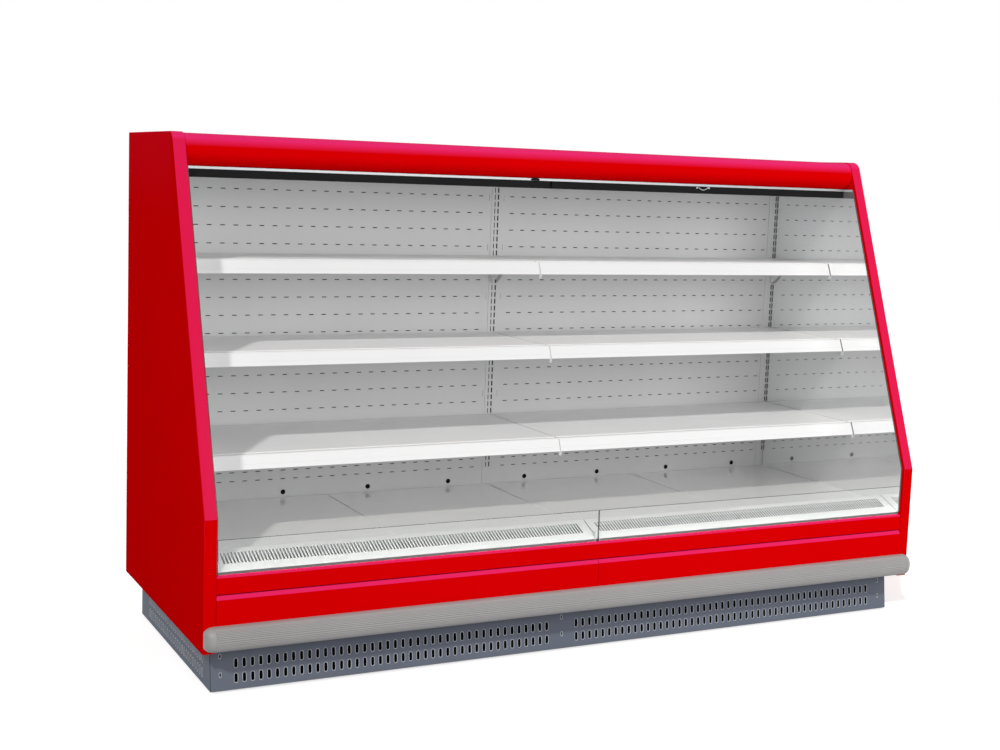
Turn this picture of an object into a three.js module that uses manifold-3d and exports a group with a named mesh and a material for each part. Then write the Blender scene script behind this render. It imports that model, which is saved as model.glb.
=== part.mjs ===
// Open multideck display fridge: two bays of three shelves over a cold well, between two end panels.
// Millimetres, +Z up, +X to the viewer's right, the open front faces -Y.
// Inside the cabinet group Y runs from the face of the perforated back wall, which is Y = 0,
// and the cabinet group is then set so that the origin is under the middle of the whole box.
import * as THREE from "three";
import { mergeVertices } from "three/addons/utils/BufferGeometryUtils.js";
import Module from "manifold-3d";

const wasm = await Module();
wasm.setup();

// ---- Driving dimensions -------------------------------------------------------------------

const GAP = 0.3; // between neighbours that rest on each other
const BAY_WIDTH = 1250; // one bay, from upright to upright
const PANEL_THICKNESS = 38;
const CABINET_TOP = 1600;
const PANEL_BOTTOM = 132;
const BACK_DEPTH = 126; // from the back wall's face to the rear of the end panels
const KINK_DEPTH = 819; // from the back wall's face to the upright lower front edge
const KINK_HEIGHT = 520; // where the front edge starts to lean back
const FRONT_LEAN = THREE.MathUtils.degToRad(20.2);
const TOP_CORNER_RADIUS = 38;

const DECK_HEIGHT = 381;
const DECK_SET_BACK = 114.5; // its front, behind the end panels' upright front edges
const DECK_LIP = 23;
const SHEET = 1.5;
const MIRROR_THICKNESS = 5;
const UPRIGHT_PROUD = 3; // how far the slotted posts stand out of the back wall
const WELL_CLEARANCE = 0.7; // beside what stands between the mirrors

const ROOF_THICKNESS = 52;
const ROOF_STEP = 3; // the roof, under the end panels' top
const TOP_DUCT = 43.5; // from the ceiling plate to the roof
const TOP_SHELF_HEIGHT = 1217;
const TOP_SHELF_DEPTH = 332;
const MIDDLE_SHELF_HEIGHT = 940.5;
const MIDDLE_SHELF_DEPTH = 430;
const BOTTOM_SHELF_HEIGHT = 640;
const BOTTOM_SHELF_DEPTH = 521;

const BUMPER_BOTTOM = 139;
const BUMPER_TOP = 212;
const BUMPER_PROUD = 38;
const BUMPER_CAP = 34;

const KICK_TOP = 134;
const KICK_SET_BACK = 52; // its foot, behind the end panels' front edges
const KICK_LEAN = 16; // how far the plate's top stands behind its foot
const SLOT_PITCH = 25;

const GLASS_RISE = 76; // over the deck
const GLASS_THICKNESS = 6;

// ---- Sizes worked out from them ------------------------------------------------------------

const INNER_HALF = BAY_WIDTH; // inner faces of the end panels
const OUTER_HALF = INNER_HALF + PANEL_THICKNESS;
const PANEL_FRONT = -KINK_DEPTH;
const DECK_FRONT = PANEL_FRONT + DECK_SET_BACK;
const KICK_BOTTOM_FRONT = PANEL_FRONT + KICK_SET_BACK;
const ROOF_TOP = CABINET_TOP - ROOF_STEP;
const ROOF_UNDERSIDE = ROOF_TOP - ROOF_THICKNESS;
const CEILING = ROOF_UNDERSIDE - TOP_DUCT; // underside of the ceiling plate
const FRONT_MOST = PANEL_FRONT - GAP - BUMPER_PROUD;
const CENTRE_SHIFT = -(BACK_DEPTH + FRONT_MOST) / 2;
const MIRROR_FACE = INNER_HALF - GAP - MIRROR_THICKNESS;
const WELL_HALF = MIRROR_FACE - WELL_CLEARANCE; // what stands between the mirrors
const BODY_HALF = INNER_HALF - GAP; // what stands between the end panels
const FREE_BACK = -(UPRIGHT_PROUD + 2 * GAP); // rear edge of what lies in front of the posts
const leanAt = (z) => PANEL_FRONT + Math.max(0, z - KINK_HEIGHT) * Math.tan(FRONT_LEAN);

// ---- Materials ------------------------------------------------------------------------------

const finish = (color, roughness, metalness, opacity = 1) =>
  new THREE.MeshStandardMaterial({
    color,
    roughness,
    metalness,
    opacity,
    transparent: opacity < 1,
  });

const RED = () => finish(0xc40a16, 0.38, 0.1);
const WHITE = () => finish(0xe9ebec, 0.35, 0.1);
const GREY_SHEET = () => finish(0x6f7684, 0.45, 0.4);
const STEEL = () => finish(0xb4b8bc, 0.35, 0.8);
const ALUMINIUM = () => finish(0xd7d9da, 0.3, 0.8);
const BLACK = () => finish(0x141517, 0.5, 0.1);
const BUMPER_GREY = () => finish(0xb4b1aa, 0.5, 0);
const MIRROR = () => finish(0xe4e9ea, 0.04, 1);
const GLASS = () => finish(0xdfeeea, 0.04, 0, 0.25);

// ---- Ways of making a shape ------------------------------------------------------------------

// A section drawn in Y and Z, run along X from x0 to x1.
function alongX(section, x0, x1) {
  const shape = new THREE.Shape(section.map(([y, z]) => new THREE.Vector2(y, z)));
  const geometry = new THREE.ExtrudeGeometry(shape, { depth: x1 - x0, bevelEnabled: false });
  const turn = new THREE.Matrix4().makeBasis(
    new THREE.Vector3(0, 1, 0),
    new THREE.Vector3(0, 0, 1),
    new THREE.Vector3(1, 0, 0),
  );
  return geometry.applyMatrix4(turn).translate(x0, 0, 0);
}

// A straight-sided block between two corners.
function block([x0, y0, z0], [x1, y1, z1]) {
  const geometry = new THREE.BoxGeometry(x1 - x0, y1 - y0, z1 - z0);
  return geometry.translate((x0 + x1) / 2, (y0 + y1) / 2, (z0 + z1) / 2);
}

// A round bar from one end point, along X, Y or Z.
function roundBar(radius, length, axis, [x, y, z], sides = 24) {
  const geometry = new THREE.CylinderGeometry(radius, radius, length, sides);
  if (axis === "X") geometry.rotateZ(-Math.PI / 2).translate(length / 2, 0, 0);
  if (axis === "Y") geometry.translate(0, length / 2, 0);
  if (axis === "Z") geometry.rotateX(Math.PI / 2).translate(0, 0, length / 2);
  return geometry.translate(x, y, z);
}

function toSolid(geometry) {
  const bare = geometry.clone();
  bare.deleteAttribute("normal");
  bare.deleteAttribute("uv");
  const merged = mergeVertices(bare, 1e-3);
  return new wasm.Manifold(
    new wasm.Mesh({
      numProp: 3,
      vertProperties: merged.attributes.position.array,
      triVerts: new Uint32Array(merged.index.array),
    }),
  );
}

function fromSolid(solid) {
  const { vertProperties, triVerts } = solid.getMesh();
  const geometry = new THREE.BufferGeometry();
  geometry.setAttribute("position", new THREE.BufferAttribute(vertProperties, 3));
  geometry.setIndex(new THREE.BufferAttribute(triVerts, 1));
  const flat = geometry.toNonIndexed();
  flat.computeVertexNormals();
  return flat;
}

const joined = (...shapes) => fromSolid(shapes.map(toSolid).reduce((all, one) => all.add(one)));
const cutBy = (body, tools) =>
  fromSolid(tools.map(toSolid).reduce((left, one) => left.subtract(one), toSolid(body)));

// Points on an arc in the Y-Z plane, angles in degrees from +Y towards +Z.
function arc([y, z], radius, from, to, steps) {
  return Array.from({ length: steps + 1 }, (_, i) => {
    const angle = THREE.MathUtils.degToRad(from + ((to - from) * i) / steps);
    return [y + radius * Math.cos(angle), z + radius * Math.sin(angle)];
  });
}

// A plate lying flat from corner to corner, U along X and V along Y, with slots cut through it.
const CUT_OVER = 1; // how far a cutting tool runs past both faces
function slottedPlate([u0, v0], [u1, v1], thickness, slots, [width, length]) {
  const plate = block([u0, v0, 0], [u1, v1, thickness]);
  const tools = slots.map(([u, v]) =>
    block(
      [u - width / 2, v - length / 2, -CUT_OVER],
      [u + width / 2, v + length / 2, thickness + CUT_OVER],
    ),
  );
  return cutBy(plate, tools);
}

// Evenly spaced places along U from one point to another at most, at each of the given V.
function slotRow(from, to, pitch, rows) {
  const count = Math.floor((to - from) / pitch + 1e-6) + 1;
  return rows.flatMap((v) => Array.from({ length: count }, (_, i) => [from + i * pitch, v]));
}

// ---- The assembly ----------------------------------------------------------------------------

const fridge = new THREE.Group();
const cabinet = new THREE.Group();
cabinet.position.y = CENTRE_SHIFT;
fridge.add(cabinet);

function piece(name, geometry, material, [x, y, z] = [0, 0, 0]) {
  const mesh = new THREE.Mesh(geometry, material);
  mesh.name = name;
  mesh.position.set(x, y, z);
  cabinet.add(mesh);
  return mesh;
}

const BOTH_SIDES = [
  { side: "left", sign: -1 },
  { side: "right", sign: 1 },
];
const spanX = (sign, near, far) => (sign > 0 ? [near, far] : [-far, -near]);

// End panels: thick red side walls, upright at the low front, leaning back above the kink,
// with a rounded corner where the lean meets the flat top.
function endPanelSection() {
  const cornerY = leanAt(CABINET_TOP);
  const halfTurn = (Math.PI / 2 + FRONT_LEAN) / 2;
  const tangent = TOP_CORNER_RADIUS / Math.tan(halfTurn);
  const centre = [cornerY + tangent, CABINET_TOP - TOP_CORNER_RADIUS];
  const leanEnd = 180 - THREE.MathUtils.radToDeg(FRONT_LEAN);
  return [
    [BACK_DEPTH, PANEL_BOTTOM],
    [BACK_DEPTH, CABINET_TOP],
    ...arc(centre, TOP_CORNER_RADIUS, 90, leanEnd, 6),
    [PANEL_FRONT, KINK_HEIGHT],
    [PANEL_FRONT, PANEL_BOTTOM],
  ];
}

for (const { side, sign } of BOTH_SIDES) {
  const [x0, x1] = spanX(sign, INNER_HALF, OUTER_HALF);
  piece(`end_panel_${side}`, alongX(endPanelSection(), x0, x1), RED());
}

// The return grille's underside lies just clear of the deck's lip and slopes down to the front wall.
const GRILLE_RISE = THREE.MathUtils.degToRad(23);
const grilleUnderAt = (y) =>
  DECK_HEIGHT + DECK_LIP + GAP / Math.cos(GRILLE_RISE) + (y - DECK_FRONT) * Math.tan(GRILLE_RISE);

// Insulated carcass: roof, rear wall, well floor and low front wall, foamed sandwich panels.
const REAR_WALL_FACE = 62;
const WELL_DEPTH = 126;
const WELL_SHELL = 40;
const WELL_FLOOR = DECK_HEIGHT - WELL_DEPTH;
const WELL_BOTTOM = WELL_FLOOR - WELL_SHELL;
const FRONT_WALL_SET_BACK = 22;
const FRONT_WALL_FACE = PANEL_FRONT + FRONT_WALL_SET_BACK;
const FRONT_WALL_BACK = FRONT_WALL_FACE + WELL_SHELL;
const FRONT_WALL_TOP = grilleUnderAt(FRONT_WALL_FACE) - GAP / Math.cos(GRILLE_RISE);
const NOSE_TOP_RADIUS = 40;
const NOSE_LEVEL = ROOF_TOP - NOSE_TOP_RADIUS;
const NOSE_SET_BACK = 6.5; // the canopy's nose, behind the end panels' leaning edge
const NOSE_FRONT = leanAt(NOSE_LEVEL) + NOSE_SET_BACK;
const CANOPY_DEPTH = 95; // from its nose to the roof
const ROOF_FRONT = NOSE_FRONT + CANOPY_DEPTH;

piece(
  "rear_wall",
  block([-BODY_HALF, REAR_WALL_FACE, WELL_BOTTOM], [BODY_HALF, BACK_DEPTH, ROOF_TOP]),
  WHITE(),
);
piece(
  "roof_panel",
  block([-BODY_HALF, ROOF_FRONT, ROOF_UNDERSIDE], [BODY_HALF, REAR_WALL_FACE - GAP, ROOF_TOP]),
  WHITE(),
);
piece(
  "well_floor",
  block(
    [-BODY_HALF, FRONT_WALL_BACK + GAP, WELL_BOTTOM],
    [BODY_HALF, REAR_WALL_FACE - GAP, WELL_FLOOR],
  ),
  WHITE(),
);
piece(
  "front_wall",
  block([-BODY_HALF, FRONT_WALL_FACE, BUMPER_BOTTOM], [BODY_HALF, FRONT_WALL_BACK, FRONT_WALL_TOP]),
  WHITE(),
);

// Mirrors: thin sheets on the inner faces of the end panels, held a little behind the front edge.
const MIRROR_INSET = 12;
const MIRROR_BOTTOM = FRONT_WALL_TOP + GAP;
const MIRROR_TOP = CEILING - SHEET;
const mirrorSection = [
  [FREE_BACK, MIRROR_BOTTOM],
  [FREE_BACK, MIRROR_TOP],
  [leanAt(MIRROR_TOP) + MIRROR_INSET, MIRROR_TOP],
  [PANEL_FRONT + MIRROR_INSET, KINK_HEIGHT],
  [PANEL_FRONT + MIRROR_INSET, MIRROR_BOTTOM],
];
for (const { side, sign } of BOTH_SIDES) {
  const [x0, x1] = spanX(sign, MIRROR_FACE, BODY_HALF);
  piece(`mirror_${side}`, alongX(mirrorSection, x0, x1), MIRROR());
}

// Ceiling plate: the floor of the air duct over the shelves.
const CEILING_FRONT = ROOF_FRONT - 2;
piece(
  "ceiling_plate",
  block([-WELL_HALF, CEILING_FRONT, CEILING], [WELL_HALF, -GAP, CEILING + SHEET]),
  WHITE(),
);

// Canopy: a bull-nosed sheet shell that closes the top front and hides the blinds.
const CANOPY_SHEET = 3;
const CANOPY_BACK = ROOF_FRONT - GAP;
const NOSE_LOW_RADIUS = 45;
const NOSE_DROP = 13; // from the middle of the upper curve to that of the lower one
const NOSE_LOW_LEVEL = NOSE_LEVEL - NOSE_DROP;
const LIP_ANGLE = 252;
const LIP_RETURN = 24;
const NOSE_LOW_START = 186;
const noseCurve = (inset) => [
  ...arc([NOSE_FRONT + NOSE_TOP_RADIUS, NOSE_LEVEL], NOSE_TOP_RADIUS - inset, 90, 180, 6),
  ...arc(
    [NOSE_FRONT + NOSE_LOW_RADIUS, NOSE_LOW_LEVEL],
    NOSE_LOW_RADIUS - inset,
    NOSE_LOW_START,
    LIP_ANGLE,
    5,
  ),
];
function canopySection() {
  const outer = noseCurve(0);
  const inner = noseCurve(CANOPY_SHEET);
  const [lipY, lipZ] = outer[outer.length - 1];
  const returnEnd = lipY + LIP_RETURN;
  return [
    [CANOPY_BACK, ROOF_TOP],
    ...outer,
    [returnEnd, lipZ],
    [returnEnd, lipZ + CANOPY_SHEET],
    ...inner.slice(0, -1).reverse(),
    [CANOPY_BACK, ROOF_TOP - CANOPY_SHEET],
  ];
}
const canopyLip = () => {
  const angle = THREE.MathUtils.degToRad(LIP_ANGLE);
  const y = NOSE_FRONT + NOSE_LOW_RADIUS * (1 + Math.cos(angle));
  return [y, NOSE_LOW_LEVEL + NOSE_LOW_RADIUS * Math.sin(angle)];
};

// Night blinds: a roller to a bay inside the canopy, turning between an end panel and a hanger
// under the middle of the canopy's top, with a black pull bar that hangs under the trim.
const ROLLER_RADIUS = 18;
const ROLLER_Y = NOSE_FRONT + 39;
const ROLLER_Z = NOSE_LEVEL + 3;
const HANGER_HALF = 2;
const hanger = block(
  [-HANGER_HALF, ROLLER_Y - ROLLER_RADIUS, ROLLER_Z - ROLLER_RADIUS],
  [HANGER_HALF, ROLLER_Y + ROLLER_RADIUS, ROOF_TOP - CANOPY_SHEET / 2],
);
piece("canopy", joined(alongX(canopySection(), -BODY_HALF, BODY_HALF), hanger), RED());
const [LIP_Y, LIP_Z] = canopyLip();

// Canopy trim: a bright strip under the lip, with the black honeycomb air outlet behind it.
const TRIM_TOP = LIP_Z - GAP;
const TRIM_HEIGHT = 9;
const TRIM_FRONT = LIP_Y;
const TRIM_BACK = LIP_Y + LIP_RETURN;
const OUTLET_HEIGHT = 22;
piece(
  "canopy_trim",
  block([-WELL_HALF, TRIM_FRONT, TRIM_TOP - TRIM_HEIGHT], [WELL_HALF, TRIM_BACK, TRIM_TOP]),
  ALUMINIUM(),
);
piece(
  "air_outlet",
  block(
    [-WELL_HALF, TRIM_BACK + GAP, CEILING - OUTLET_HEIGHT],
    [WELL_HALF, CEILING_FRONT - GAP, CEILING],
  ),
  BLACK(),
);

// Uprights: slotted posts in front of the rear duct, at each end and between the bays.
const UPRIGHT_DEPTH = 28;
const UPRIGHT_BOTTOM = DECK_HEIGHT - 41;
const UPRIGHT_HALF = 20;
const UPRIGHT_TOP = CEILING - GAP;
const DUCT_EDGE = UPRIGHT_HALF + GAP;
const END_POST_WIDTH = 41;
const END_POST_INNER = INNER_HALF - END_POST_WIDTH;
const uprights = [
  { name: "upright_left", x0: -BODY_HALF, x1: -END_POST_INNER },
  { name: "upright_middle", x0: -UPRIGHT_HALF, x1: UPRIGHT_HALF },
  { name: "upright_right", x0: END_POST_INNER, x1: BODY_HALF },
];
for (const { name, x0, x1 } of uprights) {
  const post = block([x0, -UPRIGHT_PROUD, UPRIGHT_BOTTOM], [x1, UPRIGHT_DEPTH, UPRIGHT_TOP]);
  piece(name, post, WHITE());
}

// Back wall: four sheet panels, two to a bay, with a short ledge at the foot that carries the deck.
const WALL_SHEET = 1.2;
const WALL_JOINT = 848;
const LEDGE_DEPTH = 14;
const LEDGE_SHEET = 3.7;
const DECK_FLANGE = 21;
const DECK_FLANGE_BOTTOM = DECK_HEIGHT - DECK_FLANGE;
const WALL_FOOT = DECK_FLANGE_BOTTOM - GAP - LEDGE_SHEET;
const lowerWallSection = [
  [WALL_SHEET, WALL_FOOT],
  [WALL_SHEET, WALL_JOINT - GAP],
  [0, WALL_JOINT - GAP],
  [0, DECK_FLANGE_BOTTOM - GAP],
  [-LEDGE_DEPTH, DECK_FLANGE_BOTTOM - GAP],
  [-LEDGE_DEPTH, WALL_FOOT],
];
for (const { side, sign } of BOTH_SIDES) {
  const [x0, x1] = spanX(sign, DUCT_EDGE, END_POST_INNER - GAP);
  const upperWall = block([x0, 0, WALL_JOINT], [x1, WALL_SHEET, CEILING - GAP]);
  piece(`back_wall_lower_${side}`, alongX(lowerWallSection, x0, x1), WHITE());
  piece(`back_wall_upper_${side}`, upperWall, WHITE());
}

// Shelves: a folded sheet tray with a gusset bracket welded under each end.
const SHELF_END = 3;
const SHELF_SIDE_ROOM = 8;
const SHELF_OUTER = INNER_HALF - SHELF_SIDE_ROOM;
const SHELF_BACK = -(UPRIGHT_PROUD + 3);
const SHELF_SHEET = 1.2;
const SHELF_FLANGE = 28;
const BRACKET_BACK = -UPRIGHT_PROUD - GAP;
const BRACKET_THICKNESS = 3;
const BRACKET_INSET = 6;
const BRACKET_DROP = 140;
const BRACKET_FOOT = 14; // the bracket's lower end, in front of the back wall's face
const BRACKET_KNEE = 108; // where its steep rear edge meets its long front edge
const BRACKET_KNEE_DROP = 4; // the knee, under the shelf's flange
const BRACKET_TIP_RISE = 3; // the tip, over the flange's edge

function shelfGeometry(x0, x1, height, depth) {
  const front = -depth;
  const tray = [
    [SHELF_BACK, height - SHELF_FLANGE],
    [SHELF_BACK, height],
    [front, height],
    [front, height - SHELF_FLANGE],
    [front + SHELF_SHEET, height - SHELF_FLANGE],
    [front + SHELF_SHEET, height - SHELF_SHEET],
    [SHELF_BACK - SHELF_SHEET, height - SHELF_SHEET],
    [SHELF_BACK - SHELF_SHEET, height - SHELF_FLANGE],
  ];
  const under = height - SHELF_SHEET / 2;
  const gusset = [
    [BRACKET_BACK, height - BRACKET_DROP],
    [BRACKET_BACK, under],
    [front + SHELF_SHEET / 2, under],
    [front + SHELF_SHEET / 2, height - SHELF_FLANGE + BRACKET_TIP_RISE],
    [-BRACKET_KNEE, height - SHELF_FLANGE - BRACKET_KNEE_DROP],
    [-BRACKET_FOOT, height - BRACKET_DROP],
  ];
  const near = x0 + BRACKET_INSET;
  const far = x1 - BRACKET_INSET;
  const nearBracket = alongX(gusset, near, near + BRACKET_THICKNESS);
  const farBracket = alongX(gusset, far - BRACKET_THICKNESS, far);
  return joined(alongX(tray, x0, x1), nearBracket, farBracket);
}

// Price rails: white ticket strips on the shelf fronts, leaning back so that they face the shopper.
const RAIL_LEAN = 18;
const RAIL_HEIGHT = 42;
const RAIL_THICKNESS = 3;
const RAIL_ABOVE = 1; // its top, over the shelf's face
const RAIL_SEAT = 5; // its upright stretch against the shelf's front
function railSection(height, depth) {
  const top = height + RAIL_ABOVE;
  const back = -depth - GAP;
  return [
    [back - RAIL_THICKNESS, top],
    [-depth - RAIL_LEAN - RAIL_THICKNESS, top - RAIL_HEIGHT],
    [-depth - RAIL_LEAN, top - RAIL_HEIGHT],
    [back, top - RAIL_SEAT],
    [back, top],
  ];
}

const SHELF_TIERS = [
  { level: "top", height: TOP_SHELF_HEIGHT, depth: TOP_SHELF_DEPTH },
  { level: "middle", height: MIDDLE_SHELF_HEIGHT, depth: MIDDLE_SHELF_DEPTH },
  { level: "bottom", height: BOTTOM_SHELF_HEIGHT, depth: BOTTOM_SHELF_DEPTH },
];
for (const { level, height, depth } of SHELF_TIERS) {
  for (const { side, sign } of BOTH_SIDES) {
    const [x0, x1] = spanX(sign, SHELF_END, SHELF_OUTER);
    piece(`shelf_${level}_${side}`, shelfGeometry(x0, x1, height, depth), WHITE());
    piece(`price_rail_${level}_${side}`, alongX(railSection(height, depth), x0, x1), WHITE());
  }
}

// Deck: four lift-out trays over the cold well, with a flange down the back and a lip up the front.
const DECK_TRAYS = 4;
const deckSection = [
  [FREE_BACK, DECK_FLANGE_BOTTOM],
  [FREE_BACK, DECK_HEIGHT],
  [DECK_FRONT + SHEET, DECK_HEIGHT],
  [DECK_FRONT + SHEET, DECK_HEIGHT + DECK_LIP],
  [DECK_FRONT, DECK_HEIGHT + DECK_LIP],
  [DECK_FRONT, DECK_HEIGHT - SHEET],
  [FREE_BACK - SHEET, DECK_HEIGHT - SHEET],
  [FREE_BACK - SHEET, DECK_FLANGE_BOTTOM],
];
const trayPitch = (2 * WELL_HALF) / DECK_TRAYS;
for (let tray = 0; tray < DECK_TRAYS; tray += 1) {
  const x0 = -WELL_HALF + tray * trayPitch + GAP;
  const x1 = x0 + trayPitch - 2 * GAP;
  piece(`deck_tray_${tray + 1}`, alongX(deckSection, x0, x1), WHITE());
}

// Return air grilles: one sloping plate to a bay, slotted from front to back. Each rests on the
// front wall and ends just ahead of the deck's lip, so the trays and the grilles lift out freely.
const GRILLE_BACK = DECK_FRONT - GAP;
const GRILLE_LENGTH = 105;
const GRILLE_SLOT_PITCH = 10.5;
const GRILLE_SLOT_WIDTH = 5;
const GRILLE_SLOT_LENGTH = 50;
const GRILLE_SLOT_MIDDLE = 60; // from the lower edge of the plate, up the slope
const GRILLE_PLAIN_END = 30; // unslotted, at each end of a plate
const GRILLE_JOINT = 1.5; // half the space between the two plates
const grilleFront = GRILLE_BACK - GRILLE_LENGTH * Math.cos(GRILLE_RISE);
for (const { side, sign } of BOTH_SIDES) {
  const [x0, x1] = spanX(sign, GRILLE_JOINT, WELL_HALF - GAP);
  const slots = slotRow(
    x0 + GRILLE_PLAIN_END,
    x1 - GRILLE_PLAIN_END,
    GRILLE_SLOT_PITCH,
    [GRILLE_SLOT_MIDDLE],
  );
  const slotSize = [GRILLE_SLOT_WIDTH, GRILLE_SLOT_LENGTH];
  const plate = slottedPlate([x0, 0], [x1, GRILLE_LENGTH], SHEET, slots, slotSize)
    .rotateX(GRILLE_RISE)
    .translate(0, grilleFront, grilleUnderAt(grilleFront));
  piece(`return_grille_${side}`, plate, WHITE());
}

// Riser glasses: two low clear panes that stand in a slot of the red top rail.
const RAIL_FACE = PANEL_FRONT + 5;
const TOP_RAIL_DROP = 26; // its top, under the deck
const TOP_RAIL_HEIGHT = 54;
const TOP_RAIL_TOP = DECK_HEIGHT - TOP_RAIL_DROP;
const TOP_RAIL_BOTTOM = TOP_RAIL_TOP - TOP_RAIL_HEIGHT;
const TOP_RAIL_BEVEL_DEPTH = 3;
const TOP_RAIL_BEVEL_HEIGHT = 6;
const GLASS_SET_BACK = 5.5; // the pane's front, behind the rail's face
const GLASS_FRONT = RAIL_FACE + GLASS_SET_BACK;
const GLASS_POCKET = 25;
const GLASS_PLAY = 0.6;
const GLASS_JOINT = 1.5; // half the space between the two panes
const topRailSection = [
  [RAIL_FACE, TOP_RAIL_BOTTOM],
  [FRONT_WALL_FACE - GAP, TOP_RAIL_BOTTOM],
  [FRONT_WALL_FACE - GAP, TOP_RAIL_TOP],
  [GLASS_FRONT + GLASS_THICKNESS + GLASS_PLAY, TOP_RAIL_TOP],
  [GLASS_FRONT + GLASS_THICKNESS + GLASS_PLAY, TOP_RAIL_TOP - GLASS_POCKET],
  [GLASS_FRONT - GLASS_PLAY, TOP_RAIL_TOP - GLASS_POCKET],
  [GLASS_FRONT - GLASS_PLAY, TOP_RAIL_TOP],
  [RAIL_FACE + TOP_RAIL_BEVEL_DEPTH, TOP_RAIL_TOP],
  [RAIL_FACE, TOP_RAIL_TOP - TOP_RAIL_BEVEL_HEIGHT],
];
piece("top_rail", alongX(topRailSection, -BODY_HALF, BODY_HALF), RED());
for (const { side, sign } of BOTH_SIDES) {
  const [x0, x1] = spanX(sign, GLASS_JOINT, WELL_HALF - GAP);
  const low = [x0, GLASS_FRONT, TOP_RAIL_TOP - GLASS_POCKET + GAP];
  const high = [x1, GLASS_FRONT + GLASS_THICKNESS, DECK_HEIGHT + GLASS_RISE];
  piece(`riser_glass_${side}`, block(low, high), GLASS());
}

// Lower front panels: two red skins under the rail, bevelled along the top, down behind the bumper.
const LOWER_PANEL_GROOVE = 3.5; // between the skins and the rail over them
const LOWER_PANEL_TOP = TOP_RAIL_BOTTOM - LOWER_PANEL_GROOVE;
const LOWER_PANEL_BOTTOM = BUMPER_BOTTOM + 4;
const LOWER_PANEL_BEVEL_DEPTH = 7;
const LOWER_PANEL_BEVEL_HEIGHT = 11;
const LOWER_PANEL_JOINT = 0.6; // half the seam between the two skins
const lowerPanelSection = [
  [PANEL_FRONT, LOWER_PANEL_BOTTOM],
  [FRONT_WALL_FACE - GAP, LOWER_PANEL_BOTTOM],
  [FRONT_WALL_FACE - GAP, LOWER_PANEL_TOP],
  [PANEL_FRONT + LOWER_PANEL_BEVEL_DEPTH, LOWER_PANEL_TOP],
  [PANEL_FRONT, LOWER_PANEL_TOP - LOWER_PANEL_BEVEL_HEIGHT],
];
for (const { side, sign } of BOTH_SIDES) {
  const [x0, x1] = spanX(sign, LOWER_PANEL_JOINT, BODY_HALF - GAP);
  piece(`lower_panel_${side}`, alongX(lowerPanelSection, x0, x1), RED());
}

// Bumper: a half-oval strip right across the front, end panels included, with a rounded cap each end.
const BUMPER_BACK = PANEL_FRONT - GAP;
const BUMPER_HALF_HEIGHT = (BUMPER_TOP - BUMPER_BOTTOM) / 2;
const BUMPER_MIDDLE = (BUMPER_TOP + BUMPER_BOTTOM) / 2;
const BUMPER_OVERHANG = 4; // past the outer face of each end panel
const BUMPER_END = OUTER_HALF + BUMPER_OVERHANG - BUMPER_CAP;
const BUMPER_STEPS = 12;
const BUMPER_SWELL = 0.72; // below 1 the half oval swells towards a rounded rectangle
const swollen = (value) => Math.sign(value) * Math.abs(value) ** BUMPER_SWELL;
function bumperRing(proud, halfHeight) {
  return Array.from({ length: BUMPER_STEPS + 1 }, (_, i) => {
    const angle = (Math.PI * i) / BUMPER_STEPS - Math.PI / 2;
    const y = BUMPER_BACK - proud * swollen(Math.cos(angle));
    return [y, BUMPER_MIDDLE + halfHeight * swollen(Math.sin(angle))];
  });
}
piece(
  "bumper",
  alongX(bumperRing(BUMPER_PROUD, BUMPER_HALF_HEIGHT), -BUMPER_END, BUMPER_END),
  BUMPER_GREY(),
);

// A bumper cap: rings of the bumper's section that shrink along a quarter turn to a blunt tip.
const CAP_RINGS = 6;
const CAP_SWEEP = THREE.MathUtils.degToRad(80);
const CAP_TIP_DEPTH = 0.25; // of the bumper's depth that is left at the tip
const CAP_TIP_HEIGHT = 0.55; // of its height
function bumperCap(sign) {
  const rings = [];
  for (let i = 0; i <= CAP_RINGS; i += 1) {
    const angle = (i / CAP_RINGS) * CAP_SWEEP;
    const x = sign * (BUMPER_END + GAP + (BUMPER_CAP - GAP) * Math.sin(angle));
    const proud = BUMPER_PROUD * THREE.MathUtils.lerp(CAP_TIP_DEPTH, 1, Math.cos(angle));
    const halfHeight = BUMPER_HALF_HEIGHT * THREE.MathUtils.lerp(CAP_TIP_HEIGHT, 1, Math.cos(angle));
    rings.push(bumperRing(proud, halfHeight).map(([y, z]) => new THREE.Vector3(x, y, z)));
  }
  const corners = [];
  const face = (a, b, c) => (sign < 0 ? corners.push(a, b, c) : corners.push(a, c, b));
  const count = BUMPER_STEPS + 1;
  for (let r = 0; r < CAP_RINGS; r += 1)
    for (let i = 0; i < count; i += 1) {
      const j = (i + 1) % count;
      face(rings[r][i], rings[r][j], rings[r + 1][j]);
      face(rings[r][i], rings[r + 1][j], rings[r + 1][i]);
    }
  for (let i = 1; i < count - 1; i += 1) {
    face(rings[0][0], rings[0][i + 1], rings[0][i]);
    face(rings[CAP_RINGS][0], rings[CAP_RINGS][i], rings[CAP_RINGS][i + 1]);
  }
  const geometry = new THREE.BufferGeometry().setFromPoints(corners);
  geometry.computeVertexNormals();
  return geometry;
}
for (const { side, sign } of BOTH_SIDES) piece(`bumper_cap_${side}`, bumperCap(sign), BUMPER_GREY());

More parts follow.
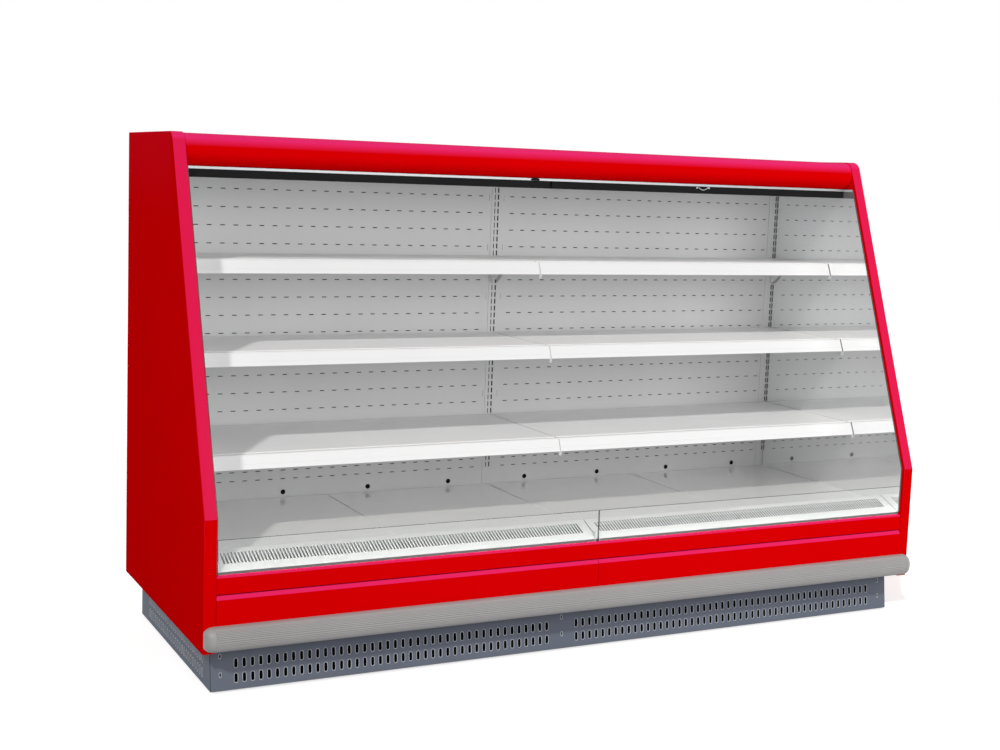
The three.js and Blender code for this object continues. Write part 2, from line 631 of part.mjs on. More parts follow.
// Kick plates: slotted grey sheet round the foot, leaning at the front, upright at the sides.
const KICK_INSET = 0.8;
const KICK_SIDE_FACE = INNER_HALF - KICK_INSET;
const KICK_SIDE_RISE = 8; // how far the side plates reach over the front one
const KICK_BACK = 53;
const KICK_FOOT = 2;
const KICK_SLOT_WIDTH = 8;
const KICK_SLOT_LENGTH = 25;
const KICK_LOW_ROW = 33;
const KICK_HIGH_ROW = 76;
const KICK_ROWS = [KICK_LOW_ROW, KICK_HIGH_ROW];
const KICK_LEFT_PLAIN = 78;
const KICK_RIGHT_PLAIN = 89;
const KICK_PLAIN_START = -147; // the unslotted stretch near the middle
const KICK_PLAIN_END = -39;
const KICK_SIDE_PLAIN_FRONT = 85;
const KICK_SIDE_PLAIN_BACK = 110;
const kickRise = Math.atan2(KICK_TOP - KICK_FOOT, KICK_LEAN);
const kickLength = Math.hypot(KICK_TOP - KICK_FOOT, KICK_LEAN);
function kickFront() {
  const half = KICK_SIDE_FACE - SHEET - GAP;
  const slots = [
    ...slotRow(KICK_LEFT_PLAIN - INNER_HALF, KICK_PLAIN_START, SLOT_PITCH, KICK_ROWS),
    ...slotRow(KICK_PLAIN_END, INNER_HALF - KICK_RIGHT_PLAIN, SLOT_PITCH, KICK_ROWS),
  ];
  const slotSize = [KICK_SLOT_WIDTH, KICK_SLOT_LENGTH];
  return slottedPlate([-half, 0], [half, kickLength], SHEET, slots, slotSize)
    .rotateX(kickRise)
    .translate(0, KICK_BOTTOM_FRONT + SHEET, KICK_FOOT);
}
piece("kick_front", kickFront(), GREY_SHEET());

function kickSide(sign) {
  const top = KICK_TOP + KICK_SIDE_RISE;
  const firstSlot = KICK_BOTTOM_FRONT + KICK_SIDE_PLAIN_FRONT;
  const lastSlot = KICK_BACK - KICK_SIDE_PLAIN_BACK;
  const [x0, x1] = spanX(sign, KICK_SIDE_FACE - SHEET, KICK_SIDE_FACE);
  const outline = [
    [KICK_BOTTOM_FRONT, KICK_FOOT],
    [KICK_BACK, KICK_FOOT],
    [KICK_BACK, top],
    [KICK_BOTTOM_FRONT + (KICK_LEAN * (top - KICK_FOOT)) / (KICK_TOP - KICK_FOOT), top],
  ];
  const tools = slotRow(firstSlot, lastSlot, SLOT_PITCH, KICK_ROWS).map(([y, row]) =>
    block(
      [x0 - CUT_OVER, y - KICK_SLOT_WIDTH / 2, KICK_FOOT + row - KICK_SLOT_LENGTH / 2],
      [x1 + CUT_OVER, y + KICK_SLOT_WIDTH / 2, KICK_FOOT + row + KICK_SLOT_LENGTH / 2],
    ),
  );
  return cutBy(alongX(outline, x0, x1), tools);
}
for (const { side, sign } of BOTH_SIDES) piece(`kick_side_${side}`, kickSide(sign), GREY_SHEET());

// Base bearers: channels from front to back that stand on foot pads and carry the well.
const BEARER_WIDTH = 60;
const BEARER_WALL = 3;
const BEARER_FRONT = KICK_BOTTOM_FRONT + 67;
const BEARER_REAR = 40;
const BEARER_INSET = 60; // the outer bearers' middle line, in from the end panels
const PAD_RADIUS = 22;
const PAD_HEIGHT = 14;
const PAD_SINK = 1; // how far a pad's top goes into the channel's lower flange
const PAD_INSET = 60;
function bearerGeometry() {
  const half = BEARER_WIDTH / 2;
  const bottom = PAD_HEIGHT - PAD_SINK;
  const top = WELL_BOTTOM - GAP;
  const shape = new THREE.Shape(
    [
      [-half, bottom],
      [half, bottom],
      [half, bottom + BEARER_WALL],
      [-half + BEARER_WALL, bottom + BEARER_WALL],
      [-half + BEARER_WALL, top - BEARER_WALL],
      [half, top - BEARER_WALL],
      [half, top],
      [-half, top],
    ].map(([x, z]) => new THREE.Vector2(x, z)),
  );
  const depth = BEARER_REAR - BEARER_FRONT;
  const channel = new THREE.ExtrudeGeometry(shape, { depth, bevelEnabled: false })
    .rotateX(Math.PI / 2)
    .translate(0, BEARER_REAR, 0);
  const pads = [BEARER_FRONT + PAD_INSET, BEARER_REAR - PAD_INSET].map((y) =>
    roundBar(PAD_RADIUS, PAD_HEIGHT, "Z", [0, y, 0], 20),
  );
  return joined(channel, ...pads);
}
const bearers = [
  { name: "base_bearer_left", x: BEARER_INSET - INNER_HALF },
  { name: "base_bearer_middle", x: 0 },
  { name: "base_bearer_right", x: INNER_HALF - BEARER_INSET },
];
for (const { name, x } of bearers) piece(name, bearerGeometry(), STEEL(), [x, 0, 0]);

// Blind rollers and their pull bars: one of each to a bay.
const BAR_HEIGHT = 24.5;
const BAR_DEPTH = 20;
const BAR_TOP = TRIM_TOP - TRIM_HEIGHT - GAP;
const BAR_JOINT = 3; // half the space between the two bars
for (const { side, sign } of BOTH_SIDES) {
  const [roller0, roller1] = spanX(sign, HANGER_HALF + GAP, BODY_HALF);
  const roller = roundBar(ROLLER_RADIUS, roller1 - roller0, "X", [roller0, ROLLER_Y, ROLLER_Z], 28);
  piece(`blind_roller_${side}`, roller, BLACK());
  const [bar0, bar1] = spanX(sign, BAR_JOINT, WELL_HALF - GAP);
  const bar = block(
    [bar0, TRIM_FRONT, BAR_TOP - BAR_HEIGHT],
    [bar1, TRIM_FRONT + BAR_DEPTH, BAR_TOP],
  );
  piece(`blind_bar_${side}`, bar, BLACK());
}

// Pull loop: a shallow bow of wire that swings on the front of the right-hand blind's bar.
const LOOP_OFF_CENTRE = 13; // from the middle of the bay, towards the middle of the fridge
const LOOP_X = BAY_WIDTH / 2 - LOOP_OFF_CENTRE;
const LOOP_RADIUS = 25;
const LOOP_WIRE = 1.8;
const LOOP_CLEARANCE = 0.4;
const LOOP_HALF_ANGLE = 53;
const LOOP_SEAT = 1.2; // the middle of its ends, under the bar's top
const LOOP_STEPS = 14;
const loopEndLevel = -LOOP_RADIUS * Math.cos(THREE.MathUtils.degToRad(LOOP_HALF_ANGLE));
function pullLoop() {
  const bow = arc([0, 0], LOOP_RADIUS, -90 - LOOP_HALF_ANGLE, -90 + LOOP_HALF_ANGLE, LOOP_STEPS);
  const path = new THREE.CatmullRomCurve3(bow.map(([x, z]) => new THREE.Vector3(x, 0, z)));
  const circle = new THREE.Shape().absarc(0, 0, LOOP_WIRE, 0, 2 * Math.PI);
  const sweep = { steps: LOOP_STEPS, curveSegments: 8, extrudePath: path };
  return new THREE.ExtrudeGeometry(circle, sweep);
}
const loopPlace = [LOOP_X, TRIM_FRONT - LOOP_WIRE - LOOP_CLEARANCE, BAR_TOP - LOOP_SEAT - loopEndLevel];
piece("blind_pull", pullLoop(), ALUMINIUM(), loopPlace);

// Evaporator: a finned block in the well, standing clear of the floor on its end plates.
const COIL_SET_BACK = 184.5; // behind the deck's front, clear of the fans
const COIL_DEPTH = 270;
const COIL_FRONT = DECK_FRONT + COIL_SET_BACK;
const COIL_BACK = COIL_FRONT + COIL_DEPTH;
const COIL_BOTTOM = WELL_FLOOR + GAP;
const COIL_TOP = DECK_HEIGHT - 29;
const COIL_END_ROOM = 164; // for its pipe bends and the drain, at each end of the well
const COIL_HALF = WELL_HALF - COIL_END_ROOM;
const COIL_FINS = 48;
const COIL_CORE = 30; // unfinned lower part
function evaporatorGeometry() {
  const pitch = (2 * COIL_HALF) / COIL_FINS;
  const core = COIL_BOTTOM + COIL_CORE;
  const outline = [];
  for (let i = 0; i < COIL_FINS; i += 1) {
    const x = -COIL_HALF + i * pitch;
    outline.push([x, core], [x, COIL_TOP], [x + pitch / 2, COIL_TOP], [x + pitch / 2, core]);
  }
  outline.push([COIL_HALF, core], [COIL_HALF, COIL_BOTTOM], [-COIL_HALF, COIL_BOTTOM]);
  const shape = new THREE.Shape(outline.reverse().map(([x, z]) => new THREE.Vector2(x, z)));
  const depth = COIL_BACK - COIL_FRONT;
  return new THREE.ExtrudeGeometry(shape, { depth, bevelEnabled: false })
    .rotateX(Math.PI / 2)
    .translate(0, COIL_BACK, 0);
}
piece("evaporator", evaporatorGeometry(), ALUMINIUM());

// Fan plate: an upright sheet under the deck's front, with a round hole and a motor to each fan.
const FAN_PLATE_SET_BACK = 6.5; // behind the deck's front
const FAN_PLATE_FRONT = DECK_FRONT + FAN_PLATE_SET_BACK;
const FAN_RADIUS = 52;
const FAN_CLEAR = 4;
const FAN_HEIGHT = (WELL_FLOOR + DECK_HEIGHT) / 2;
const FANS = [
  { name: "fan_left", x: -BAY_WIDTH / 2 },
  { name: "fan_right", x: BAY_WIDTH / 2 },
];
const MOTOR_RADIUS = 20;
const MOTOR_LENGTH = 36;
const MOTOR_SET_BACK = 10; // motor face behind the plate's face
const HUB_LENGTH = 16;
const ARM_FRONT = 24;
const ARM_BACK = 28;
const ARM_HALF = 4;
const ARM_FOOT_HALF = 2;
function fanPlateGeometry() {
  const low = [-WELL_HALF, FAN_PLATE_FRONT, WELL_FLOOR + GAP];
  const high = [WELL_HALF, FAN_PLATE_FRONT + SHEET, DECK_HEIGHT - SHEET - GAP];
  const cutLength = SHEET + 2 * CUT_OVER;
  const openings = FANS.map(({ x }) => {
    const start = [x, FAN_PLATE_FRONT - CUT_OVER, FAN_HEIGHT];
    return roundBar(FAN_RADIUS + FAN_CLEAR, cutLength, "Y", start, 32);
  });
  const sheet = cutBy(block(low, high), openings);
  const brackets = FANS.flatMap(({ x }) => {
    const motorFace = [x, FAN_PLATE_FRONT + MOTOR_SET_BACK, FAN_HEIGHT];
    const motor = roundBar(MOTOR_RADIUS, MOTOR_LENGTH, "Y", motorFace, 24);
    const reach = FAN_RADIUS + FAN_CLEAR + ARM_HALF;
    const arm = block(
      [x - reach, FAN_PLATE_FRONT + ARM_FRONT, FAN_HEIGHT - ARM_HALF],
      [x + reach, FAN_PLATE_FRONT + ARM_BACK, FAN_HEIGHT + ARM_HALF],
    );
    const feet = [-1, 1].map((way) =>
      block(
        [x + way * reach - ARM_FOOT_HALF, FAN_PLATE_FRONT + SHEET / 2, FAN_HEIGHT - ARM_HALF],
        [x + way * reach + ARM_FOOT_HALF, FAN_PLATE_FRONT + ARM_BACK, FAN_HEIGHT + ARM_HALF],
      ),
    );
    return [motor, arm, ...feet];
  });
  return joined(sheet, ...brackets);
}
piece("fan_plate", fanPlateGeometry(), STEEL());

// Fans: a hub with five pitched blades, turning in the plate's hole ahead of its motor.
const BLADES = 5;
const HUB_RADIUS = 17;
const BLADE_ROOT = 12;
const BLADE_CHORD = 26;
const BLADE_THICKNESS = 1.6;
const BLADE_PITCH = THREE.MathUtils.degToRad(26);
const fanY = FAN_PLATE_FRONT + MOTOR_SET_BACK - GAP - HUB_LENGTH / 2;
function fanGeometry() {
  const hub = roundBar(HUB_RADIUS, HUB_LENGTH, "Y", [0, -HUB_LENGTH / 2, 0], 24);
  const bladeReach = FAN_RADIUS - BLADE_ROOT;
  const blades = Array.from({ length: BLADES }, (_, i) => {
    const blade = new THREE.BoxGeometry(BLADE_CHORD, BLADE_THICKNESS, bladeReach);
    blade.rotateZ(BLADE_PITCH).translate(0, 0, BLADE_ROOT + bladeReach / 2);
    return blade.rotateY((2 * Math.PI * i) / BLADES);
  });
  return joined(hub, ...blades);
}
for (const { name, x } of FANS) piece(name, fanGeometry(), BLACK(), [x, fanY, FAN_HEIGHT]);

export default fridge;
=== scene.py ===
import math

import bmesh
import bpy
from mathutils import Matrix, Vector


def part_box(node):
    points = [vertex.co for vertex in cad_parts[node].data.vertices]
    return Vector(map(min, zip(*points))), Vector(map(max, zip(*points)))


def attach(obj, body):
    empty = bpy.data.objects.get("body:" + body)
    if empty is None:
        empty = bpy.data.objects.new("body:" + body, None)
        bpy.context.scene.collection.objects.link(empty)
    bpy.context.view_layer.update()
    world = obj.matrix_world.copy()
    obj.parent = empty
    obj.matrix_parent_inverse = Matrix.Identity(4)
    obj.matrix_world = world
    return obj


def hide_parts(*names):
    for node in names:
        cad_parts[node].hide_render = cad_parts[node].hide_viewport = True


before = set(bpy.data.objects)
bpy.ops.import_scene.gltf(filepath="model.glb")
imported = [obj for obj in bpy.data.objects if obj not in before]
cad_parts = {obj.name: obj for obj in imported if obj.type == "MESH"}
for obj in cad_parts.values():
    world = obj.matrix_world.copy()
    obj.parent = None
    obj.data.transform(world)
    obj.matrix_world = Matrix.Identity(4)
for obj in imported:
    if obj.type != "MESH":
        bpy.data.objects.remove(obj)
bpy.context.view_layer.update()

# Camera. It stands where the photograph was taken from: left of the cabinet and at about eye
# height, turned to the right and a little down, with the picture slightly rolled.
photo_lens = bpy.data.cameras.new("photo_view")
photo_lens.lens = 53.61
photo_lens.sensor_width = 36.0
photo_lens.shift_y = -0.021
photo_lens.clip_end = 200.0
photo_view = bpy.data.objects.new("photo_view", photo_lens)
bpy.context.scene.collection.objects.link(photo_view)
eye = Matrix.Translation((-2.41910, -4.43629, 1.50663))
turn = Matrix.Rotation(math.radians(-27.0807), 4, "Z")
tilt = Matrix.Rotation(math.radians(90 - 6.8516), 4, "X")
roll = Matrix.Rotation(math.radians(2.1313), 4, "Z")
photo_view.matrix_world = eye @ turn @ tilt @ roll
bpy.context.scene.camera = photo_view

# Floor and light. A plain pale studio floor that keeps the shadow, a soft key light from the left
# front at 40 degrees, a wide softbox from the right front, and a weak light from all round.
bpy.context.scene.view_settings.view_transform = "Standard"


def reckoned(tree, operation, first, second=None):
    """A Math node's result; first is a node's output, second an output, a number or nothing."""
    node = tree.nodes.new("ShaderNodeMath")
    node.operation = operation
    tree.links.new(first, node.inputs[0])
    if isinstance(second, float):
        node.inputs[1].default_value = second
    elif second is not None:
        tree.links.new(second, node.inputs[1])
    return node.outputs[0]


def spread(tree, value, low, high, at_low=0.0, at_high=1.0):
    """A value's way from low to high, given as a number from at_low to at_high."""
    node = tree.nodes.new("ShaderNodeMapRange")
    node.inputs["From Min"].default_value = low
    node.inputs["From Max"].default_value = high
    node.inputs["To Min"].default_value = at_low
    node.inputs["To Max"].default_value = at_high
    tree.links.new(value, node.inputs["Value"])
    return node.outputs["Result"]


def white_to_the_eye(tree):
    """1 for rays from the camera, from gloss and through glass, which see the set as white; 0 for others."""
    path = tree.nodes.new("ShaderNodeLightPath")
    seen = path.outputs["Is Camera Ray"]
    for other in ("Is Glossy Ray", "Is Transmission Ray"):
        seen = reckoned(tree, "MAXIMUM", seen, path.outputs[other])
    return seen


floor_paint = bpy.data.materials.new("floor_paint")
floor_paint.use_nodes = True
floor_tree = floor_paint.node_tree
floor_shader = floor_tree.nodes["Principled BSDF"]
floor_shader.inputs["Roughness"].default_value = 0.9
floor_shader.inputs["Specular IOR Level"].default_value = 0.0
floor_shader.inputs["Emission Color"].default_value = (1, 1, 1, 1)
floor_tone = floor_tree.nodes.new("ShaderNodeMix")
floor_tone.data_type = "RGBA"
floor_tone.inputs[6].default_value = (0.50, 0.51, 0.52, 1)
floor_tone.inputs[7].default_value = (0.96, 0.96, 0.96, 1)
floor_seen = white_to_the_eye(floor_tree)
floor_tree.links.new(floor_seen, floor_tone.inputs[0])
floor_place = floor_tree.nodes.new("ShaderNodeTexCoord")
floor_split = floor_tree.nodes.new("ShaderNodeSeparateXYZ")
floor_tree.links.new(floor_place.outputs["Object"], floor_split.inputs[0])
open_floor = []  # 0 under the cabinet, where the glow would wash out its shadow, and 1 away from it
for axis, inner, outer in (("X", 1.225, 1.250), ("Y", 0.385, 0.430)):
    size = reckoned(floor_tree, "ABSOLUTE", floor_split.outputs[axis])
    open_floor.append(spread(floor_tree, size, inner, outer))
away = reckoned(floor_tree, "MAXIMUM", *open_floor)
floor_tree.links.new(floor_tone.outputs[2], floor_shader.inputs["Base Color"])
glow_here = reckoned(floor_tree, "MULTIPLY", floor_seen, away)
FLOOR_GLOW = 0.46  # brings the lit floor up to the white of the room behind it
floor_glow = reckoned(floor_tree, "MULTIPLY", glow_here, FLOOR_GLOW)
floor_tree.links.new(floor_glow, floor_shader.inputs["Emission Strength"])

floor_shape = bmesh.new()
bmesh.ops.create_grid(floor_shape, x_segments=1, y_segments=1, size=40.0)
floor_mesh = bpy.data.meshes.new("studio_floor")
floor_shape.to_mesh(floor_mesh)
floor_shape.free()
studio_floor = bpy.data.objects.new("studio_floor", floor_mesh)
bpy.context.scene.collection.objects.link(studio_floor)
floor_mesh.materials.append(floor_paint)

room = bpy.data.worlds.new("studio_room")
bpy.context.scene.world = room
room.use_nodes = True
room_tree = room.node_tree
room_light = room_tree.nodes["Background"]
room_light.inputs["Color"].default_value = (1, 1, 1, 1)
ROOM_LIGHT = 0.42
room_level = spread(room_tree, white_to_the_eye(room_tree), 0.0, 1.0, ROOM_LIGHT, 1.0)
room_tree.links.new(room_level, room_light.inputs["Strength"])

key = bpy.data.lights.new("key_light", "SUN")
key.energy = 1.56
key.angle = math.radians(3.5)
key.color = (1.0, 0.985, 0.96)
key_light = bpy.data.objects.new("key_light", key)
bpy.context.scene.collection.objects.link(key_light)
key_light.rotation_mode = "QUATERNION"
key_light.rotation_quaternion = Vector((-0.51, -0.568, 0.645)).to_track_quat("Z", "Y")

softbox = bpy.data.lights.new("softbox", "AREA")
softbox.shape = "RECTANGLE"
softbox.size, softbox.size_y = 5.0, 3.0
softbox.energy = 180.0
softbox_light = bpy.data.objects.new("softbox", softbox)
bpy.context.scene.collection.objects.link(softbox_light)
softbox_place = Vector((2.1, -6.1, 2.6))
softbox_light.location = softbox_place
softbox_light.rotation_mode = "QUATERNION"
softbox_light.rotation_quaternion = (softbox_place - Vector((0.2, 0.0, 0.8))).to_track_quat("Z", "Y")

# End panels. Thick foamed side walls skinned in red powder-coated sheet, upright at the low front and
# leaning back above it, with one large round where the lean meets the top and small rolled edges.
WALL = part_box("back_wall_upper_left")[0].y  # the face of the perforated back wall, along Y


def skin_pattern():
    """What a sprayed or moulded skin shows: a fine grain, slow changes of tone, and patches of gloss."""
    group = bpy.data.node_groups.new("skin", "ShaderNodeTree")
    face = group.interface
    face.new_socket("Place", in_out="INPUT", socket_type="NodeSocketVector")
    face.new_socket("Grain", in_out="INPUT", socket_type="NodeSocketFloat")
    face.new_socket("Patch", in_out="INPUT", socket_type="NodeSocketFloat")
    for out in ("Height", "Tone", "Gloss"):
        face.new_socket(out, in_out="OUTPUT", socket_type="NodeSocketFloat")
    given = group.nodes.new("NodeGroupInput")
    result = group.nodes.new("NodeGroupOutput")
    for out, size, detail in (("Height", "Grain", 3.0), ("Tone", "Patch", 2.0), ("Gloss", "Patch", 5.0)):
        noise = group.nodes.new("ShaderNodeTexNoise")
        noise.inputs["Detail"].default_value = detail
        group.links.new(given.outputs["Place"], noise.inputs["Vector"])
        group.links.new(given.outputs[size], noise.inputs["Scale"])
        group.links.new(spread(group, noise.outputs["Fac"], 0.3, 0.7), result.inputs[out])
    return group


SKIN = skin_pattern()


def finish_of(name, light, dark, gloss, grain, depth, patch=2.5, **shader_values):
    """A finish that drifts between two tones and two roughnesses, over a fine grain.
    grain is the number of grains to a metre and depth how deep they are, in metres."""
    finish = bpy.data.materials.new(name)
    finish.use_nodes = True
    tree = finish.node_tree
    shader = tree.nodes["Principled BSDF"]
    place = tree.nodes.new("ShaderNodeTexCoord")
    skin = tree.nodes.new("ShaderNodeGroup")
    skin.node_tree = SKIN
    skin.name = "skin"
    skin.inputs["Grain"].default_value = grain
    skin.inputs["Patch"].default_value = patch
    tree.links.new(place.outputs["Object"], skin.inputs["Place"])
    tone = tree.nodes.new("ShaderNodeMix")
    tone.name = "tone"
    tone.data_type = "RGBA"
    tone.inputs[6].default_value = (*dark, 1)
    tone.inputs[7].default_value = (*light, 1)
    tree.links.new(skin.outputs["Tone"], tone.inputs[0])
    tree.links.new(tone.outputs[2], shader.inputs["Base Color"])
    shine = spread(tree, skin.outputs["Gloss"], 0.0, 1.0, *gloss)
    tree.links.new(shine, shader.inputs["Roughness"])
    relief = tree.nodes.new("ShaderNodeBump")
    relief.name = "relief"
    relief.inputs["Strength"].default_value = 1.0
    relief.inputs["Distance"].default_value = depth
    tree.links.new(skin.outputs["Height"], relief.inputs["Height"])
    tree.links.new(relief.outputs["Normal"], shader.inputs["Normal"])
    for socket, value in shader_values.items():
        shader.inputs[socket.replace("_", " ")].default_value = value
    return finish


def finished(shape, name, finish, body, slot, *stands_for, crease=35):
    """Makes a shape into a piece of the cabinet: smooth but for its creases, on its body."""
    for face in shape.faces:
        face.smooth = True
    mesh = bpy.data.meshes.new(name)
    shape.to_mesh(mesh)
    shape.free()
    mesh.set_sharp_from_angle(angle=math.radians(crease))
    mesh.materials.append(finish)
    piece = bpy.data.objects.new(name, mesh)
    bpy.context.scene.collection.objects.link(piece)
    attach(piece, body)
    if stands_for:
        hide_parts(*stands_for)
    return piece


def outline(shape, corners, x):
    """A flat face across the cabinet at x, its corners given as (y from the back wall, z)."""
    return shape.faces.new([shape.verts.new((x, WALL + y, z)) for y, z in corners])


def run(shape, faces, along):
    """Runs faces along a vector and closes them into a solid; gives the solid's faces."""
    out = bmesh.ops.extrude_face_region(shape, geom=faces)
    moved = [part for part in out["geom"] if isinstance(part, bmesh.types.BMVert)]
    bmesh.ops.translate(shape, vec=along, verts=moved)
    solid = list({face for vert in moved for face in vert.link_faces} | set(faces))
    bmesh.ops.recalc_face_normals(shape, faces=solid)
    return solid


def eased(shape, width, segments=2, angle=40):
    """Rounds every edge that is sharper than the angle."""
    sharp = [e for e in shape.edges if e.is_manifold and e.calc_face_angle() > math.radians(angle)]
    bmesh.ops.bevel(
        shape, geom=sharp, offset=width, offset_type="OFFSET", segments=segments,
        profile=0.5, affect="EDGES", material=-1, clamp_overlap=True,
    )


def block(shape, low, high):
    """A straight bar inside a larger piece, from its low to its high corner, y from the back wall."""
    (x0, y0, z0), (x1, y1, z1) = low, high
    middle = ((x0 + x1) / 2, WALL + (y0 + y1) / 2, (z0 + z1) / 2)
    size = Matrix.Diagonal((x1 - x0, y1 - y0, z1 - z0, 1))
    return bmesh.ops.create_cube(shape, size=1.0, matrix=Matrix.Translation(middle) @ size)["verts"]


red_enamel = finish_of(
    "red_enamel", light=(0.65, 0.0, 0.001), dark=(0.62, 0.0, 0.0005), gloss=(0.44, 0.50),
    grain=420, depth=0.00006, Specular_IOR_Level=0.0, Coat_Roughness=0.34,
)
red_tree = red_enamel.node_tree
red_shader = red_tree.nodes["Principled BSDF"]
looks = red_tree.nodes.new("ShaderNodeTexCoord")
upward = red_tree.nodes.new("ShaderNodeSeparateXYZ")
red_tree.links.new(looks.outputs["Normal"], upward.inputs[0])
# Painted sheen: faces that look up are painted a colder pink that stands in for the sky's reflection; the
# same up-facing mask also adds a little real clear coat.
painted_sheen_and_coat = spread(red_tree, upward.outputs["Z"], 0.05, 0.66)
painted_sky_sheen = red_tree.nodes.new("ShaderNodeMix")  # faces that look up show a colder pink
painted_sky_sheen.data_type = "RGBA"
painted_sky_sheen.inputs[7].default_value = (0.72, 0.018, 0.130, 1)
red_tree.links.new(painted_sheen_and_coat, painted_sky_sheen.inputs[0])
red_tree.links.new(red_tree.nodes["tone"].outputs[2], painted_sky_sheen.inputs[6])
red_tree.links.new(painted_sky_sheen.outputs[2], red_shader.inputs["Base Color"])
red_tree.links.new(reckoned(red_tree, "MULTIPLY", painted_sheen_and_coat, 0.12), red_shader.inputs["Coat Weight"])
LEAN = math.radians(20.2)
PANEL_FRONT = -0.819
PANEL_FOOT = 0.132
PANEL_THICK = 0.038
REAR = 0.126  # the rear wall's outer face, from the back wall's
KINK = 0.520
TOP = 1.600
for side, sign in (("left", -1), ("right", 1)):
    panel = bmesh.new()
    outline(panel, [
        (REAR, PANEL_FOOT), (REAR, TOP), (PANEL_FRONT + (TOP - KINK) * math.tan(LEAN), TOP),
        (PANEL_FRONT, KINK), (PANEL_FRONT, PANEL_FOOT),
    ], sign * 1.250)
    top_corner = min((v for v in panel.verts if v.co.z > TOP - 0.01), key=lambda v: v.co.y)
    bmesh.ops.bevel(
        panel, geom=[top_corner], offset=0.0265, offset_type="OFFSET", segments=18,
        profile=0.5, affect="VERTICES", material=-1,
    )
    run(panel, panel.faces[:], (sign * PANEL_THICK, 0, 0))
    eased(panel, 0.0022, segments=5)
    finished(panel, f"end_wall_{side}", red_enamel, "cabinet", "red_enamel", f"end_panel_{side}", crease=19)

# Mirrors. Thin polished sheets on the inner faces of the end panels, which make the shelves seem
# to go on; each is bonded flat and held back a little from the front edge.
mirror_sheet = finish_of(
    "mirror_sheet", light=(0.985, 0.99, 0.99), dark=(0.97, 0.98, 0.98), gloss=(0.02, 0.05),
    grain=30, depth=0.0000004, patch=4, Specular_IOR_Level=0.2,
)


def edges_toned(finish, axis, edge_at, face_at, tone):
    """Gives a sheet's cut edges another tone; they are told by how far they look along an axis.
    On the mirror this is the real tone of its glass edges; on the grille and the kick sides it is painted
    shade in the slots.
    Gives back the mask, which is 1 on the sheet's faces."""
    tree = finish.node_tree
    looks = tree.nodes.new("ShaderNodeTexCoord")
    split = tree.nodes.new("ShaderNodeSeparateXYZ")
    tree.links.new(looks.outputs["Normal"], split.inputs[0])
    face = spread(tree, reckoned(tree, "ABSOLUTE", split.outputs[axis]), edge_at, face_at)
    mixed = tree.nodes.new("ShaderNodeMix")
    mixed.data_type = "RGBA"
    mixed.inputs[6].default_value = (*tone, 1)
    tree.links.new(face, mixed.inputs[0])
    tree.links.new(tree.nodes["tone"].outputs[2], mixed.inputs[7])
    tree.links.new(mixed.outputs[2], tree.nodes["Principled BSDF"].inputs["Base Color"])
    return face


mirror_face = edges_toned(mirror_sheet, "X", 0.90, 0.98, (0.09, 0.10, 0.10))
mirror_tree = mirror_sheet.node_tree
silvered = reckoned(mirror_tree, "MULTIPLY", mirror_face, 0.86)  # the ground edges aren't silvered
mirror_tree.links.new(silvered, mirror_tree.nodes["Principled BSDF"].inputs["Metallic"])


def kept(node, finish, edge=0.0):
    """A solid of the CAD model that stays, in its own finish and with its edges eased."""
    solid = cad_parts[node]
    solid.material_slots[0].material = finish
    if edge:
        weld = solid.modifiers.new("weld", "WELD")
        weld.merge_threshold = 0.00002
        round_over = solid.modifiers.new("edge", "BEVEL")
        round_over.width = edge
        round_over.segments = 2
        round_over.limit_method = "ANGLE"
        round_over.angle_limit = math.radians(35)
    return solid


for side in ("left", "right"):
    kept(f"mirror_{side}", mirror_sheet, edge=0.0006)

# Carcass. Roof and rear wall are foamed sandwich panels in white enamelled sheet, the well's floor and
# low front wall the same, painted dark grey as painted shade; the ceiling plate is a single sheet under the
# roof duct.
white_enamel = finish_of(
    "white_enamel", light=(0.84, 0.84, 0.84), dark=(0.82, 0.82, 0.825), gloss=(0.42, 0.5),
    grain=420, depth=0.00004, Specular_IOR_Level=0.3,
)
# Painted shade: the well's dark grey stands in for the shade under the grilles, so their slots read dark.
well_painted_shade = finish_of(
    "well_painted_shade", light=(0.075, 0.077, 0.08), dark=(0.055, 0.057, 0.06), gloss=(0.5, 0.6),
    grain=420, depth=0.00004, Specular_IOR_Level=0.2,
)
for node in ("rear_wall", "roof_panel"):
    kept(node, white_enamel, edge=0.0025)
for node in ("well_floor", "front_wall"):
    kept(node, well_painted_shade, edge=0.0025)
kept("ceiling_plate", white_enamel, edge=0.0004)

# Back seams. Flat cover strips close the joints of the rear wall's sheets and are held by rows of
# domed rivets, all in the same white enamel.
SEAMS = (-0.83, 0.0, 0.83)
seams = bmesh.new()
for x in SEAMS:
    block(seams, (x - 0.018, REAR, 0.240), (x + 0.018, 0.1272, 1.580))
eased(seams, 0.0005, segments=1)
for x in SEAMS:
    for row in range(9):
        for way in (-1, 1):
            place = Matrix.Translation((x + way * 0.011, WALL + 0.1271, 0.27 + row * 0.16))
            turned = place @ Matrix.Rotation(math.pi / 2, 4, "X") @ Matrix.Diagonal((1, 1, 0.45, 1))
            bmesh.ops.create_uvsphere(seams, u_segments=10, v_segments=6, radius=0.003, matrix=turned)
finished(seams, "rear_seam_strips", white_enamel, "cabinet", "white_enamel")

